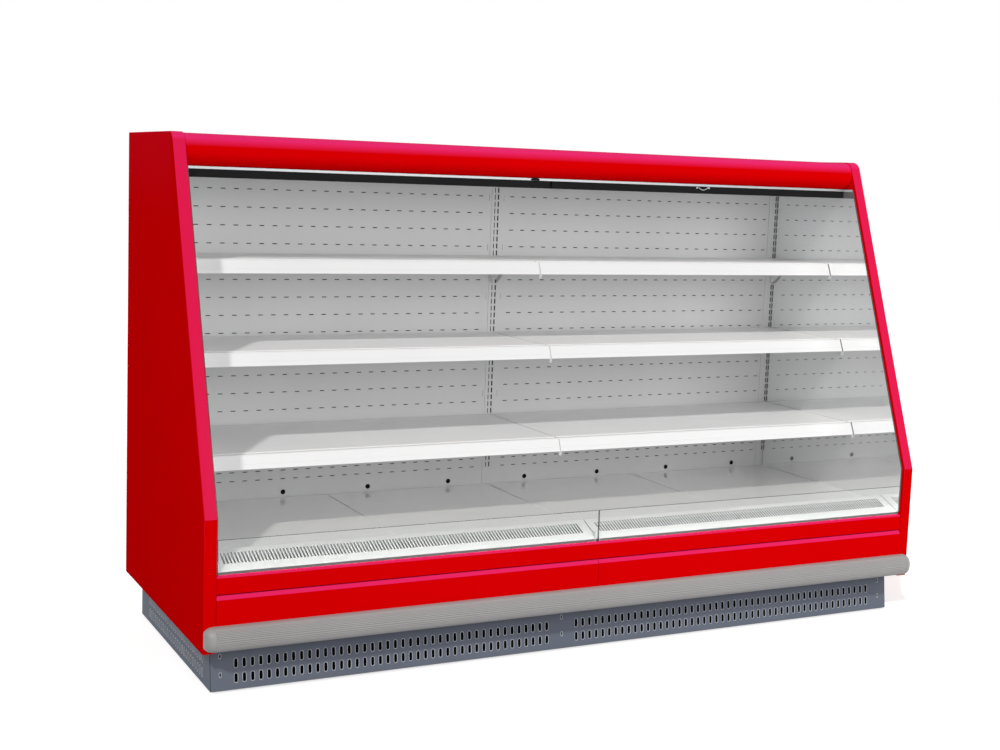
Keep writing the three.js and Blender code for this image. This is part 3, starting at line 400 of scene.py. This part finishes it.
# Canopy. One red powder-coated sheet, bull-nosed over the front: flat on top, round at the upper
# corner, and curled under to a short return flange that carries the bright trim.
BETWEEN = 1.2497  # half the clear length between the end panels, less their gaps
DUCT_FOOT = 1.5012  # where the wall sheets and posts end and the canopy's flange begins
canopy = bmesh.new()
outline(canopy, [
    (-0.3363, 1.597), (-0.43096, 1.597), (-0.43096, 1.5113), (-0.3999, DUCT_FOOT), (-0.3759, DUCT_FOOT),
], -BETWEEN)
canopy.verts.ensure_lookup_table()
for corner, reach in ((canopy.verts[1], 0.040), (canopy.verts[2], 0.0300)):
    bmesh.ops.bevel(
        canopy, geom=[corner], offset=reach, offset_type="OFFSET", segments=14,
        profile=0.5, affect="VERTICES", material=-1,
    )
run(canopy, canopy.faces[:], (2 * BETWEEN, 0, 0))
open_sides = [
    f for f in canopy.faces
    if abs(f.normal.x) > 0.5 or (f.calc_center_median().y > WALL - 0.372 and f.normal.z < 0.7)
]
bmesh.ops.delete(canopy, geom=open_sides, context="FACES")
bmesh.ops.solidify(canopy, geom=canopy.faces[:], thickness=0.003)
block(canopy, (-0.002, -0.409, 1.542), (0.002, -0.375, 1.5955))
finished(canopy, "canopy_shell", red_enamel, "cabinet", "red_enamel", "canopy")

# Canopy trim and air outlet. A bright drawn aluminium strip under the canopy's lip, and behind it
# the black moulded honeycomb that straightens the falling curtain of cold air.
aluminium = finish_of(
    "bright_aluminium", light=(0.34, 0.35, 0.36), dark=(0.28, 0.29, 0.30), gloss=(0.38, 0.48),
    grain=900, depth=0.00001, patch=9, Metallic=1.0,
)
black_plastic = finish_of(
    "black_plastic", light=(0.011, 0.011, 0.011), dark=(0.007, 0.007, 0.008), gloss=(0.55, 0.65),
    grain=700, depth=0.00003, Specular_IOR_Level=0.05,
)
honeycomb = finish_of(
    "black_honeycomb", light=(0.030, 0.030, 0.032), dark=(0.016, 0.016, 0.018), gloss=(0.5, 0.6),
    grain=700, depth=0.00004,
)
cells_tree = honeycomb.node_tree
cells = cells_tree.nodes.new("ShaderNodeTexVoronoi")
cells.feature = "DISTANCE_TO_EDGE"
cells.inputs["Scale"].default_value = 160.0
cells.inputs["Randomness"].default_value = 0.12
cells_place = cells_tree.nodes.new("ShaderNodeTexCoord")
cells_tree.links.new(cells_place.outputs["Object"], cells.inputs["Vector"])
cell_wall = spread(cells_tree, cells.outputs["Distance"], 0.10, 0.18, 1.0, 0.0)
cells_tree.nodes["relief"].inputs["Distance"].default_value = 0.003
cells_tree.links.new(cell_wall, cells_tree.nodes["relief"].inputs["Height"])
cells_tree.links.new(cell_wall, cells_tree.nodes["tone"].inputs[0])
kept("canopy_trim", aluminium, edge=0.0012)
kept("air_outlet", honeycomb, edge=0.0008)

# Night blinds. A roller for each bay inside the canopy, and a black pull bar under the trim; a
# small black catch holds the bars at the middle, and a bowed wire pull hangs on the right-hand bar.
for side in ("left", "right"):
    kept(f"blind_roller_{side}", black_plastic)
    kept(f"blind_bar_{side}", black_plastic, edge=0.0015)
catch = bmesh.new()
BAR_FRONT = -0.39986
CATCH_PARTS = ((-0.076, -0.046, 1.4925, 1.4990, 0.004), (-0.069, -0.053, 1.4985, 1.5035, 0.005))
for x0, x1, z0, z1, proud in CATCH_PARTS:
    block(catch, (x0, BAR_FRONT - proud, z0), (x1, BAR_FRONT - 0.0002, z1))
eased(catch, 0.0012)
finished(catch, "blind_catch", black_plastic, "cabinet", "black_plastic")

PULL_MIDDLE = 0.612
BOW = Vector((PULL_MIDDLE, WALL - 0.40206, 1.50535))  # middle of the bow's circle
pull = bmesh.new()
start = Matrix.Translation(BOW) @ Matrix.Rotation(math.radians(53), 4, "Y")
wire = bmesh.ops.create_circle(pull, cap_ends=True, segments=14, radius=0.0018)["verts"]
ring_place = start @ Matrix.Translation((0, 0, -0.025)) @ Matrix.Rotation(math.pi / 2, 4, "Y")
bmesh.ops.transform(pull, matrix=ring_place, verts=wire)
bmesh.ops.spin(
    pull, geom=pull.verts[:] + pull.edges[:] + pull.faces[:], cent=BOW, axis=(0, 1, 0),
    angle=math.radians(-106), steps=28, use_merge=False, use_duplicate=False,
)
bmesh.ops.remove_doubles(pull, verts=pull.verts[:], dist=0.00001)
bmesh.ops.recalc_face_normals(pull, faces=pull.faces[:])
finished(pull, "pull_bow", aluminium, "blind_pull_body", "bright_aluminium", "blind_pull")
ears = bmesh.new()
for way in (-1, 1):
    x = PULL_MIDDLE + way * 0.0255
    block(ears, (x - 0.003, BAR_FRONT - 0.0022, 1.4842), (x + 0.003, BAR_FRONT - 0.0002, 1.4908))
eased(ears, 0.0008)
finished(ears, "pull_ears", aluminium, "blind_bar_right_body", "bright_aluminium")

# Posts. Folded white steel posts that carry the shelves: two rows of hook slots in the middle one
# and one row beside each mirror, at a 25 mm pitch; each is screwed to the rear wall at its flanges.


def punched_sheet(shape, x0, x1, z0, z1, front, gauge, holes, corner=0.0):
    """A sheet facing the front, with a hole punched for each (x, z, width, height) and, if
    asked, rounded hole corners. front is its face, from the back wall's."""
    y = WALL + front
    corners = ((x0, y, z0), (x1, y, z0), (x1, y, z1), (x0, y, z1))
    faces = [shape.faces.new([shape.verts.new(corner_place) for corner_place in corners])]
    cuts = {("x", round(x + way * w / 2, 6)) for x, _, w, _ in holes for way in (-1, 1)}
    cuts |= {("z", round(z + way * h / 2, 6)) for _, z, _, h in holes for way in (-1, 1)}
    for axis, value in sorted(cuts):
        co, no = ((value, 0, 0), (1, 0, 0)) if axis == "x" else ((0, 0, value), (0, 0, 1))
        geom = list({part for f in faces for part in (f, *f.edges, *f.verts)})
        out = bmesh.ops.bisect_plane(shape, geom=geom, plane_co=co, plane_no=no, dist=1e-7)
        faces = [part for part in out["geom"] if isinstance(part, bmesh.types.BMFace)]
    by_row = {}
    for x, z, w, h in holes:
        by_row.setdefault((z, h), []).append((x, w))
    gone = []
    for face in faces:
        centre = face.calc_center_median()
        for (z, h), row in by_row.items():
            if abs(centre.z - z) < h / 2 and any(abs(centre.x - x) < w / 2 for x, w in row):
                gone.append(face)
                break
    dropped = set(gone)
    faces = [f for f in faces if f not in dropped]
    bmesh.ops.delete(shape, geom=gone, context="FACES")
    solid = run(shape, faces, (0, gauge, 0))
    if corner:
        uprights = {
            e for f in solid for e in f.edges
            if abs(e.verts[0].co.y - e.verts[1].co.y) > gauge / 2 and e.calc_face_angle() > 1
            and x0 + 1e-4 < e.verts[0].co.x < x1 - 1e-4 and z0 + 1e-4 < e.verts[0].co.z < z1 - 1e-4
        }
        bmesh.ops.bevel(
            shape, geom=list(uprights), offset=corner, offset_type="OFFSET", segments=2,
            profile=0.5, affect="EDGES", material=-1,
        )


# Painted shade: the back wall's sheets and the posts are the same white enamel as the rest, painted greyer
# for the shade the canopy casts on them.
wall_enamel_painted_shade = finish_of(
    "wall_enamel_painted_shade", light=(0.67, 0.67, 0.675), dark=(0.64, 0.64, 0.645), gloss=(0.40, 0.48),
    grain=420, depth=0.00004, Specular_IOR_Level=0.3,
)
POST_SLOTS = [0.452 + 0.025 * i for i in range(41)]
POST_FOOT = 0.340
POST_SHEET = 0.002
POSTS = {
    "left": (-BETWEEN, -1.2090, [(-1.2392, 0.0052)]),
    "middle": (-0.0200, 0.0200, [(-0.0068, 0.0034), (0.0062, 0.0052)]),
    "right": (1.2090, BETWEEN, [(1.2392, 0.0052)]),
}
for name, (x0, x1, columns) in POSTS.items():
    post = bmesh.new()
    slots = [(x, z, w, 0.0176) for x, w in columns for z in POST_SLOTS]
    punched_sheet(post, x0, x1, POST_FOOT, DUCT_FOOT, -0.0012, POST_SHEET, slots)
    for edge in (x0, x1 - POST_SHEET):
        block(post, (edge, 0.0007, POST_FOOT), (edge + POST_SHEET, 0.028, DUCT_FOOT))
    bmesh.ops.remove_doubles(post, verts=post.verts[:], dist=0.000001)
    finished(post, f"post_{name}", wall_enamel_painted_shade, "cabinet", "white_enamel", f"upright_{name}", crease=30)

# Back wall. Two white sheets to a bay, punched with rows of short slots that let the cold air out
# over the shelves; the upper one is trimmed along its top, and black plugs close the foot holes.
# A black sheet in the duct behind them and black strips behind the posts are painted shade, so the slots
# read dark.
SHEET = 0.0012  # the gauge of the thin sheets
AIR_COLUMNS = [0.0625 + 0.045 * i for i in range(26)]
AIR_ROWS = {
    "upper": [0.890 + 0.060 * i for i in range(10)],
    "lower": [0.445, 0.475] + [0.506 + 0.060 * i for i in range(6)],
}
TAB_SLITS = {"upper": (0.893, 1.070, 1.247, 1.424), "lower": (0.539, 0.716)}
for side, sign in (("left", -1), ("right", 1)):
    x0, x1 = sorted((sign * 0.0203, sign * 1.2087))
    for part, z0, z1 in (("lower", 0.356, 0.8477), ("upper", 0.848, DUCT_FOOT)):
        wall = bmesh.new()
        holes = [(sign * x, z, 0.0164, 0.0030) for x in AIR_COLUMNS for z in AIR_ROWS[part]]
        holes += [(sign * 0.0292, z, 0.0012, 0.022) for z in TAB_SLITS[part]]
        punched_sheet(wall, x0, x1, z0, z1, 0.0, SHEET, holes)
        if part == "lower":
            block(wall, (x0, -0.014, 0.3560), (x1, 0.0001, 0.3597))
        else:
            block(wall, (x0, -0.0012, 1.4620), (x1, 0.0001, 1.5010))
        finished(
            wall, f"air_wall_{part}_{side}", wall_enamel_painted_shade, "cabinet", "white_enamel",
            f"back_wall_{part}_{side}",
        )
# Painted shade: a black sheet behind the wall's slots and black strips behind the posts' slots.
duct_shade_sheet = bmesh.new()
block(duct_shade_sheet, (-1.2490, 0.0600, 0.2560), (1.2490, 0.0618, 1.5440))
for x in (-1.2292, 0.0, 1.2292):
    block(duct_shade_sheet, (x - 0.0175, 0.0010, 0.342), (x + 0.0175, 0.0026, 1.500))
eased(duct_shade_sheet, 0.0004, segments=1)
finished(duct_shade_sheet, "duct_painted_shade", black_plastic, "cabinet", "black_plastic")
plugs = bmesh.new()
PLUG_PITCH = 0.3125
for x in [PLUG_PITCH * (i - 3.5) for i in range(8)]:
    lie = Matrix.Translation((x, WALL - 0.0012, 0.3985)) @ Matrix.Rotation(math.pi / 2, 4, "X")
    bmesh.ops.create_cone(
        plugs, cap_ends=True, segments=28, radius1=0.0088, radius2=0.0074, depth=0.0024, matrix=lie,
    )
eased(plugs, 0.0006, angle=25)
finished(plugs, "wall_plugs", black_plastic, "cabinet", "black_plastic")

# Shelves. Folded white sheet trays with a raised bead behind the front edge, each on two gusset
# brackets that are welded under its ends and hook into the posts' slots.
TIERS = {"top": (1.2170, 0.332), "middle": (0.9405, 0.430), "bottom": (0.6400, 0.521)}
SHELF_INNER, SHELF_OUTER = 0.003, 1.242
FRONT_DROP = 0.028
BRACKET_DROP = 0.096
for tier, (high, deep) in TIERS.items():
    for side, sign in (("left", -1), ("right", 1)):
        x0, x1 = sorted((sign * SHELF_INNER, sign * SHELF_OUTER))
        shelf = bmesh.new()
        fold = [
            (-0.006, high - FRONT_DROP), (-0.006, high), (-(deep - 0.030), high),
            (-(deep - 0.0285), high + 0.0018), (-(deep - 0.0225), high + 0.0018), (-(deep - 0.021), high),
            (-deep, high), (-deep, high - FRONT_DROP),
        ]
        verts = [shelf.verts.new((x0, WALL + y, z)) for y, z in fold]
        bends = [shelf.edges.new(pair) for pair in zip(verts, verts[1:])]
        out = bmesh.ops.extrude_edge_only(shelf, edges=bends)
        moved = [part for part in out["geom"] if isinstance(part, bmesh.types.BMVert)]
        bmesh.ops.translate(shelf, vec=(x1 - x0, 0, 0), verts=moved)
        top_face = max(shelf.faces, key=lambda f: f.calc_area())
        if top_face.normal.z < 0:
            bmesh.ops.reverse_faces(shelf, faces=shelf.faces[:])
        bmesh.ops.solidify(shelf, geom=shelf.faces[:], thickness=SHEET)
        gusset = [
            (-0.0016, high - BRACKET_DROP), (-0.0016, high - 0.0006), (-deep + 0.0008, high - 0.0008),
            (-deep + 0.0008, high - 0.025), (-0.096, high - 0.032), (-0.014, high - BRACKET_DROP),
        ]
        for x in (x0 + 0.006, x1 - 0.008):
            run(shelf, [outline(shelf, gusset, x)], (0.002, 0, 0))
        finished(
            shelf, f"shelf_tray_{tier}_{side}", white_enamel, f"shelf_{tier}_{side}_body",
            "white_enamel", f"shelf_{tier}_{side}",
        )

# Price rails. White extruded plastic strips clipped to the shelf fronts and leaning towards the
# shopper: a lip along the top and the foot, a groove for the ticket, and a clip plate at each end.
rail_plastic = finish_of(
    "rail_plastic", light=(0.76, 0.76, 0.765), dark=(0.74, 0.74, 0.745), gloss=(0.34, 0.40),
    grain=300, depth=0.00001, Specular_IOR_Level=0.3,
)
RAIL_SECTION = [
    (0.0, 0.0), (0.4, 0.9), (3.0, 0.9), (3.4, 0.0), (30.0, 0.0), (30.3, -0.6), (31.0, -0.6),
    (31.3, 0.0), (42.2, 0.0), (42.6, 0.9), (45.2, 0.9), (45.58, 0.4), (45.58, -2.9), (5.4, -2.9),
]
END_PLATE = [(-0.2, 0.6), (46.0, 1.2), (46.0, -1.0), (52.0, -3.0), (57.5, -7.5), (56.0, -10.0),
             (50.0, -7.0), (45.0, -5.6), (5.4, -4.6), (-0.2, -2.9)]
RAIL_FALL = Vector((-17.7, -42.0)).normalized()
RAIL_OUT = Vector((-42.0, 17.7)).normalized()
CLIP_PLATE = 0.0022


def on_rail(points, high, deep):
    """Points down the rail's face and out from it, in mm, as (y, z) in metres."""
    spots = [Vector((-3.3, 1.0)) + RAIL_FALL * s + RAIL_OUT * t for s, t in points]
    return [(-deep + p.x / 1000, high + p.y / 1000) for p in spots]


for tier, (high, deep) in TIERS.items():
    for side, sign in (("left", -1), ("right", 1)):
        x0, x1 = sorted((sign * SHELF_INNER, sign * SHELF_OUTER))
        rail = bmesh.new()
        section = on_rail(RAIL_SECTION, high, deep) + [(-deep - 0.0003, high + 0.001)]
        run(rail, [outline(rail, section, x0)], (x1 - x0, 0, 0))
        for x in (x0 - (0.0018 if sign > 0 else 0.0), x1 - (CLIP_PLATE if sign > 0 else 0.0004)):
            run(rail, [outline(rail, on_rail(END_PLATE, high, deep), x)], (CLIP_PLATE, 0, 0))
        finished(
            rail, f"ticket_rail_{tier}_{side}", rail_plastic, f"shelf_{tier}_{side}_body",
            "white_plastic", f"price_rail_{tier}_{side}", crease=25,
        )

# Deck. Four lift-out trays of glossy white enamelled sheet over the cold well, turned down at the
# back and up at the front, butted edge to edge with a fine raised bead along each edge.
deck_enamel = finish_of(
    "deck_enamel", light=(0.90, 0.90, 0.895), dark=(0.88, 0.88, 0.88), gloss=(0.34, 0.40),
    grain=900, depth=0.000004, Specular_IOR_Level=0.5, Coat_Weight=1.0, Coat_Roughness=0.10,
)
for number in range(1, 5):
    tray = kept(f"deck_tray_{number}", deck_enamel, edge=0.0012)
    tray_low, tray_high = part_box(tray.name)
    beads = bmesh.new()
    for x in (tray_low.x + 0.0001, tray_high.x - 0.0019):
        block(beads, (x, -0.7028, 0.3809), (x + 0.0018, -0.0045, 0.3818))
    eased(beads, 0.0006, segments=2)
    finished(beads, f"tray_edges_{number}", rail_plastic, f"deck_tray_{number}_body", "white_enamel")

# Return grilles. A sloping white plate to a bay, slotted from front to back, that draws the air
# back to the fans; it rests on the front wall and against the deck's lip and lifts out.
grille_enamel = finish_of(
    "grille_enamel", light=(0.51, 0.51, 0.51), dark=(0.49, 0.49, 0.49), gloss=(0.40, 0.48),
    grain=420, depth=0.00002, Specular_IOR_Level=0.3,
)
# Painted shade: the grille's cut edges, which are its slot walls, are painted near black so the slots read
# dark.
edges_toned(grille_enamel, "X", 0.7, 0.5, (0.03, 0.03, 0.03))
for side in ("left", "right"):
    kept(f"return_grille_{side}", grille_enamel, edge=0.0003)

# Riser glasses. Two low panes of clear float glass with polished edges, standing in the top rail
# and butted at the middle, where a small folded clip behind the joint holds them in line.
clear_glass = bpy.data.materials.new("clear_glass")
clear_glass.use_nodes = True
glass_tree = clear_glass.node_tree
glass_shader = glass_tree.nodes["Principled BSDF"]
glass_shader.inputs["Transmission Weight"].default_value = 1.0
glass_shader.inputs["IOR"].default_value = 1.45
glass_place = glass_tree.nodes.new("ShaderNodeTexCoord")
glass_skin = glass_tree.nodes.new("ShaderNodeGroup")
glass_skin.node_tree = SKIN
glass_skin.inputs["Grain"].default_value = 12
glass_skin.inputs["Patch"].default_value = 6
glass_tree.links.new(glass_place.outputs["Object"], glass_skin.inputs["Place"])
glass_tone = glass_tree.nodes.new("ShaderNodeMix")
glass_tone.data_type = "RGBA"
glass_tone.inputs[6].default_value = (0.965, 0.985, 0.978, 1)
glass_tone.inputs[7].default_value = (0.985, 0.995, 0.99, 1)
glass_tree.links.new(glass_skin.outputs["Tone"], glass_tone.inputs[0])
glass_tree.links.new(glass_tone.outputs[2], glass_shader.inputs["Base Color"])
glass_gloss = spread(glass_tree, glass_skin.outputs["Gloss"], 0.0, 1.0, 0.0, 0.012)
glass_tree.links.new(glass_gloss, glass_shader.inputs["Roughness"])
lets_light = glass_tree.nodes.new("ShaderNodeBsdfTransparent")
lets_light.inputs["Color"].default_value = (0.93, 0.95, 0.94, 1)
glass_path = glass_tree.nodes.new("ShaderNodeLightPath")
glass_mix = glass_tree.nodes.new("ShaderNodeMixShader")
glass_tree.links.new(glass_path.outputs["Is Shadow Ray"], glass_mix.inputs[0])
glass_tree.links.new(glass_shader.outputs["BSDF"], glass_mix.inputs[1])
glass_tree.links.new(lets_light.outputs["BSDF"], glass_mix.inputs[2])
glass_tree.links.new(glass_mix.outputs["Shader"], glass_tree.nodes["Material Output"].inputs["Surface"])
for side in ("left", "right"):
    kept(f"riser_glass_{side}", clear_glass, edge=0.0008)
clip = bmesh.new()
for way in (-1, 1):
    x = way * 0.0085
    ear = [(-0.8015, 0.356), (-0.8015, 0.392), (-0.7800, 0.3705)]
    run(clip, [outline(clip, ear, x - 0.0006)], (0.0012, 0, 0))
block(clip, (-0.0085, -0.8019, 0.3655), (0.0085, -0.8009, 0.392))
zinc_steel = finish_of(
    "zinc_steel", light=(0.62, 0.63, 0.64), dark=(0.50, 0.51, 0.53), gloss=(0.30, 0.48),
    grain=90, depth=0.00001, patch=40, Metallic=1.0,
)
finished(clip, "glass_clip", zinc_steel, "cabinet", "zinc_steel")

# Top rail and lower front. A red powder-coated rail that holds the glasses, and two red skins
# under it with a wide bevel along the top, parted by a fine seam at the middle.
kept("top_rail", red_enamel, edge=0.0012)
for side in ("left", "right"):
    kept(f"lower_panel_{side}", red_enamel, edge=0.0012)

# Bumper. A grey extruded plastic strip, rounded at top and foot and finely ribbed along its length,
# pushed on over a hidden channel, with a smooth rounded cap at each end.
bumper_plastic = finish_of(
    "bumper_plastic", light=(0.33, 0.325, 0.325), dark=(0.30, 0.295, 0.295), gloss=(0.40, 0.48),
    grain=500, depth=0.00003, Specular_IOR_Level=0.3,
)
BUMPER_BACK = -0.8193
BUMPER_MIDDLE = 0.1755
BUMPER_PROUD = 0.038
BUMPER_HALF = 0.0365  # half its height
BUMPER_SWELL = 0.86  # 1 is a true half oval, less is fuller
BUMPER_END = 1.258


def half_oval(turn, proud=BUMPER_PROUD, half=BUMPER_HALF):
    """A point of the bumper's swollen half oval, turn from -90 at its foot to 90 at its top."""
    c, s = math.cos(math.radians(turn)), math.sin(math.radians(turn))
    c, s = abs(c) ** BUMPER_SWELL, math.copysign(abs(s) ** BUMPER_SWELL, s)
    return (BUMPER_BACK - proud * c, BUMPER_MIDDLE + half * s)


bumper = bmesh.new()
RIBS = 17
RIBBED = 132  # degrees of the half oval that are ribbed
section = [half_oval(-90), half_oval(-84)]
for rib in range(RIBS):
    turn = -72 + RIBBED * rib / RIBS
    step = RIBBED / RIBS
    for share, dip in ((0.0, 0.0020), (0.2, 0.0004), (0.5, 0.0), (0.8, 0.0004)):
        section.append(half_oval(turn + share * step, BUMPER_PROUD - dip, BUMPER_HALF - dip * 0.6))
section += [half_oval(turn) for turn in (60, 64, 68, 72, 76, 80, 83, 86, 88, 90)]
run(bumper, [outline(bumper, section, -BUMPER_END)], (2 * BUMPER_END, 0, 0))
finished(bumper, "bumper_strip", bumper_plastic, "cabinet", "grey_plastic", "bumper", crease=60)
CAP_REACH = 0.0285
CAP_STEPS = 12
for side, sign in (("left", -1), ("right", 1)):
    cap = bmesh.new()
    oval = [half_oval(-90 + 180 * i / 36) for i in range(37)]
    ring = outline(cap, oval, sign * 1.2583)
    bmesh.ops.reverse_faces(cap, faces=[ring])
    pivot = Matrix.Translation((0, WALL + BUMPER_BACK, BUMPER_MIDDLE)).inverted()
    was_x, was_y, was_z = 0.0, 1.0, 1.0
    for step in range(1, CAP_STEPS + 1):
        sweep = math.radians(83) * step / CAP_STEPS
        now_x = CAP_REACH * math.sin(sweep)
        now_y = 0.22 + 0.78 * math.cos(sweep)
        now_z = 0.52 + 0.48 * math.cos(sweep)
        out = bmesh.ops.extrude_face_region(cap, geom=[ring], use_keep_orig=(step == 1))
        ring = next(part for part in out["geom"] if isinstance(part, bmesh.types.BMFace))
        verts = ring.verts[:]
        bmesh.ops.translate(cap, vec=(sign * (now_x - was_x), 0, 0), verts=verts)
        bmesh.ops.scale(cap, vec=(1, now_y / was_y, now_z / was_z), space=pivot, verts=verts)
        was_x, was_y, was_z = now_x, now_y, now_z
    bmesh.ops.remove_doubles(cap, verts=cap.verts[:], dist=0.000005)
    bmesh.ops.recalc_face_normals(cap, faces=cap.faces[:])
    finished(
        cap, f"bumper_end_{side}", bumper_plastic, "cabinet", "grey_plastic", f"bumper_cap_{side}",
        crease=45,
    )

# Kick plates. Blue-grey enamelled sheet round the foot, slotted for air; each slot has a pressed rim
# in a lighter grey, screws in short slots stand in the plain stretches, and a black sheet behind
# the plates is painted shade that keeps the slots dark.
kick_enamel = finish_of(
    "kick_enamel", light=(0.134, 0.152, 0.190), dark=(0.118, 0.136, 0.175), gloss=(0.42, 0.5),
    grain=350, depth=0.00004, patch=3.5, Specular_IOR_Level=0.1,
)
# The pressed rims are given a much lighter, glossier grey than the plate.
rim_enamel = finish_of(
    "rim_enamel", light=(0.50, 0.53, 0.57), dark=(0.36, 0.39, 0.43), gloss=(0.30, 0.42),
    grain=500, depth=0.00003, patch=25, Specular_IOR_Level=0.5,
)
KICK_FOOT = Vector((0, WALL - 0.767, 0.002))
KICK_RISE, KICK_LEAN = 0.132, 0.016  # how far the front plate goes up and leans out
KICK_PITCH = 0.025
SLOT_WIDE, SLOT_LONG = 0.0100, 0.0265
SLOT_ROWS = (0.033, 0.076)
FRONT_SLOTS = [-1.172 + KICK_PITCH * i for i in range(42)] + [-0.039 + KICK_PITCH * i for i in range(49)]
plate = bmesh.new()
slots = [(x, z, SLOT_WIDE, SLOT_LONG) for x in FRONT_SLOTS for z in SLOT_ROWS]
punched_sheet(plate, -1.2477, 1.2477, 0.0, 0.13297, 0.0, SHEET, slots, corner=0.0046)
leaning = Matrix.Translation(KICK_FOOT) @ Matrix.Rotation(-math.atan2(KICK_LEAN, KICK_RISE), 4, "X")
bmesh.ops.transform(plate, matrix=leaning @ Matrix.Translation((0, -WALL, 0)), verts=plate.verts[:])
finished(plate, "kick_plate_front", kick_enamel, "cabinet", "grey_enamel", "kick_front", crease=30)
side_enamel = finish_of(
    "kick_side_enamel", light=(0.118, 0.142, 0.185), dark=(0.102, 0.126, 0.170), gloss=(0.42, 0.5),
    grain=350, depth=0.00004, patch=3.5, Specular_IOR_Level=0.05,
)
# Painted shade: the side plates' slot walls are painted near black so the slots read dark.
edges_toned(side_enamel, "X", 0.5, 0.7, (0.012, 0.013, 0.016))
for side in ("left", "right"):
    kept(f"kick_side_{side}", side_enamel, edge=0.0003)
# Painted shade: a black sheet behind the front plate and along the side plates keeps the slots dark.
behind = bmesh.new()
block(behind, (-1.2350, -0.7460, 0.0100), (1.2350, -0.7440, 0.1300))
for x in (-1.2415, 1.2400):
    block(behind, (x, -0.7400, 0.0100), (x + 0.0015, 0.0500, 0.1380))
eased(behind, 0.0004, segments=1)
finished(behind, "kick_painted_shade", black_plastic, "cabinet", "black_plastic")


def slot_rim(shape, place, long, wide, rise=0.0007, band=0.0018):
    """A stadium-shaped pressed rim round a slot that runs up the local Y axis."""
    half = (long - wide) / 2
    ring = bmesh.ops.create_circle(shape, cap_ends=False, segments=16, radius=wide / 2)["verts"]
    edges = list({e for v in ring for e in v.link_edges})
    every = list(ring)
    for out_by, up_by in ((0.35, rise), (0.5, 0.0), (0.15, -rise)):
        grown = bmesh.ops.extrude_edge_only(shape, edges=edges)["geom"]
        ring = [part for part in grown if isinstance(part, bmesh.types.BMVert)]
        edges = [part for part in grown if isinstance(part, bmesh.types.BMEdge)]
        radius = ring[0].co.xy.length
        size = (radius + out_by * band) / radius
        bmesh.ops.scale(shape, vec=(size, size, 1), verts=ring)
        bmesh.ops.translate(shape, vec=(0, 0, up_by), verts=ring)
        every += ring
    for vert in every:
        vert.co.y += half if vert.co.y > 1e-6 else -half if vert.co.y < -1e-6 else 0
    bmesh.ops.transform(shape, matrix=place, verts=every)


def on_kick(x, up):
    """A place on the front plate's face, with Y running up the plate and Z out of it."""
    slope = Matrix.Rotation(math.atan2(KICK_RISE, KICK_LEAN), 4, "X")
    return Matrix.Translation(KICK_FOOT + Vector((x, 0, 0))) @ slope @ Matrix.Translation((0, up, 0))


rims = bmesh.new()
for x in FRONT_SLOTS:
    for row in SLOT_ROWS:
        slot_rim(rims, on_kick(x, row), SLOT_LONG, SLOT_WIDE)
for sign in (-1, 1):
    for i in range(26):
        for row in (0.035, 0.078):
            face = Matrix.Translation((sign * 1.2492, WALL - 0.682 + KICK_PITCH * i, row))
            upright = Matrix.Rotation(sign * math.pi / 2, 4, "Z") @ Matrix.Rotation(math.pi / 2, 4, "X")
            slot_rim(rims, face @ upright, 0.025, 0.008)
bmesh.ops.recalc_face_normals(rims, faces=rims.faces[:])
finished(rims, "kick_slot_rims", rim_enamel, "cabinet", "grey_enamel")

fixings = bmesh.new()
fixing_rims = bmesh.new()
for x in (-1.219, -0.093, 1.214):
    for row in (0.046, 0.100):
        place = on_kick(x, row)
        slot_rim(fixing_rims, place, 0.013, 0.005)
        bmesh.ops.create_cone(
            fixings, cap_ends=True, segments=18, radius1=0.0028, radius2=0.0022, depth=0.0012,
            matrix=place @ Matrix.Diagonal((0.85, 2.0, 1, 1)),
        )
bmesh.ops.recalc_face_normals(fixing_rims, faces=fixing_rims.faces[:])
finished(fixing_rims, "kick_fixing_rims", rim_enamel, "cabinet", "grey_enamel")
finished(fixings, "kick_fixings", black_plastic, "cabinet", "black_plastic")

# Base bearers. Zinc-coated steel channels from front to back that stand on foot pads and carry
# the well; the kick plates hide them.
for name in ("left", "middle", "right"):
    kept(f"base_bearer_{name}", zinc_steel, edge=0.0008)

# Cooling gear. A finned aluminium evaporator under the deck, and ahead of it a zinc-coated plate
# with two motors and their black fans, all out of sight below the trays.
fin_aluminium = finish_of(
    "fin_aluminium", light=(0.78, 0.79, 0.80), dark=(0.60, 0.61, 0.62), gloss=(0.30, 0.45),
    grain=200, depth=0.00002, Metallic=1.0,
)
fins = fin_aluminium.node_tree
fin_lines = fins.nodes.new("ShaderNodeTexWave")
fin_lines.bands_direction = "X"
fin_lines.inputs["Scale"].default_value = 110.0
fin_place = fins.nodes.new("ShaderNodeTexCoord")
fins.links.new(fin_place.outputs["Object"], fin_lines.inputs["Vector"])
fins.nodes["relief"].inputs["Distance"].default_value = 0.0008
fins.links.new(fin_lines.outputs["Fac"], fins.nodes["relief"].inputs["Height"])
fins.links.new(fin_lines.outputs["Fac"], fins.nodes["tone"].inputs[0])
kept("evaporator", fin_aluminium)
kept("fan_plate", zinc_steel, edge=0.0004)
for side in ("left", "right"):
    kept(f"fan_{side}", black_plastic, edge=0.0004)
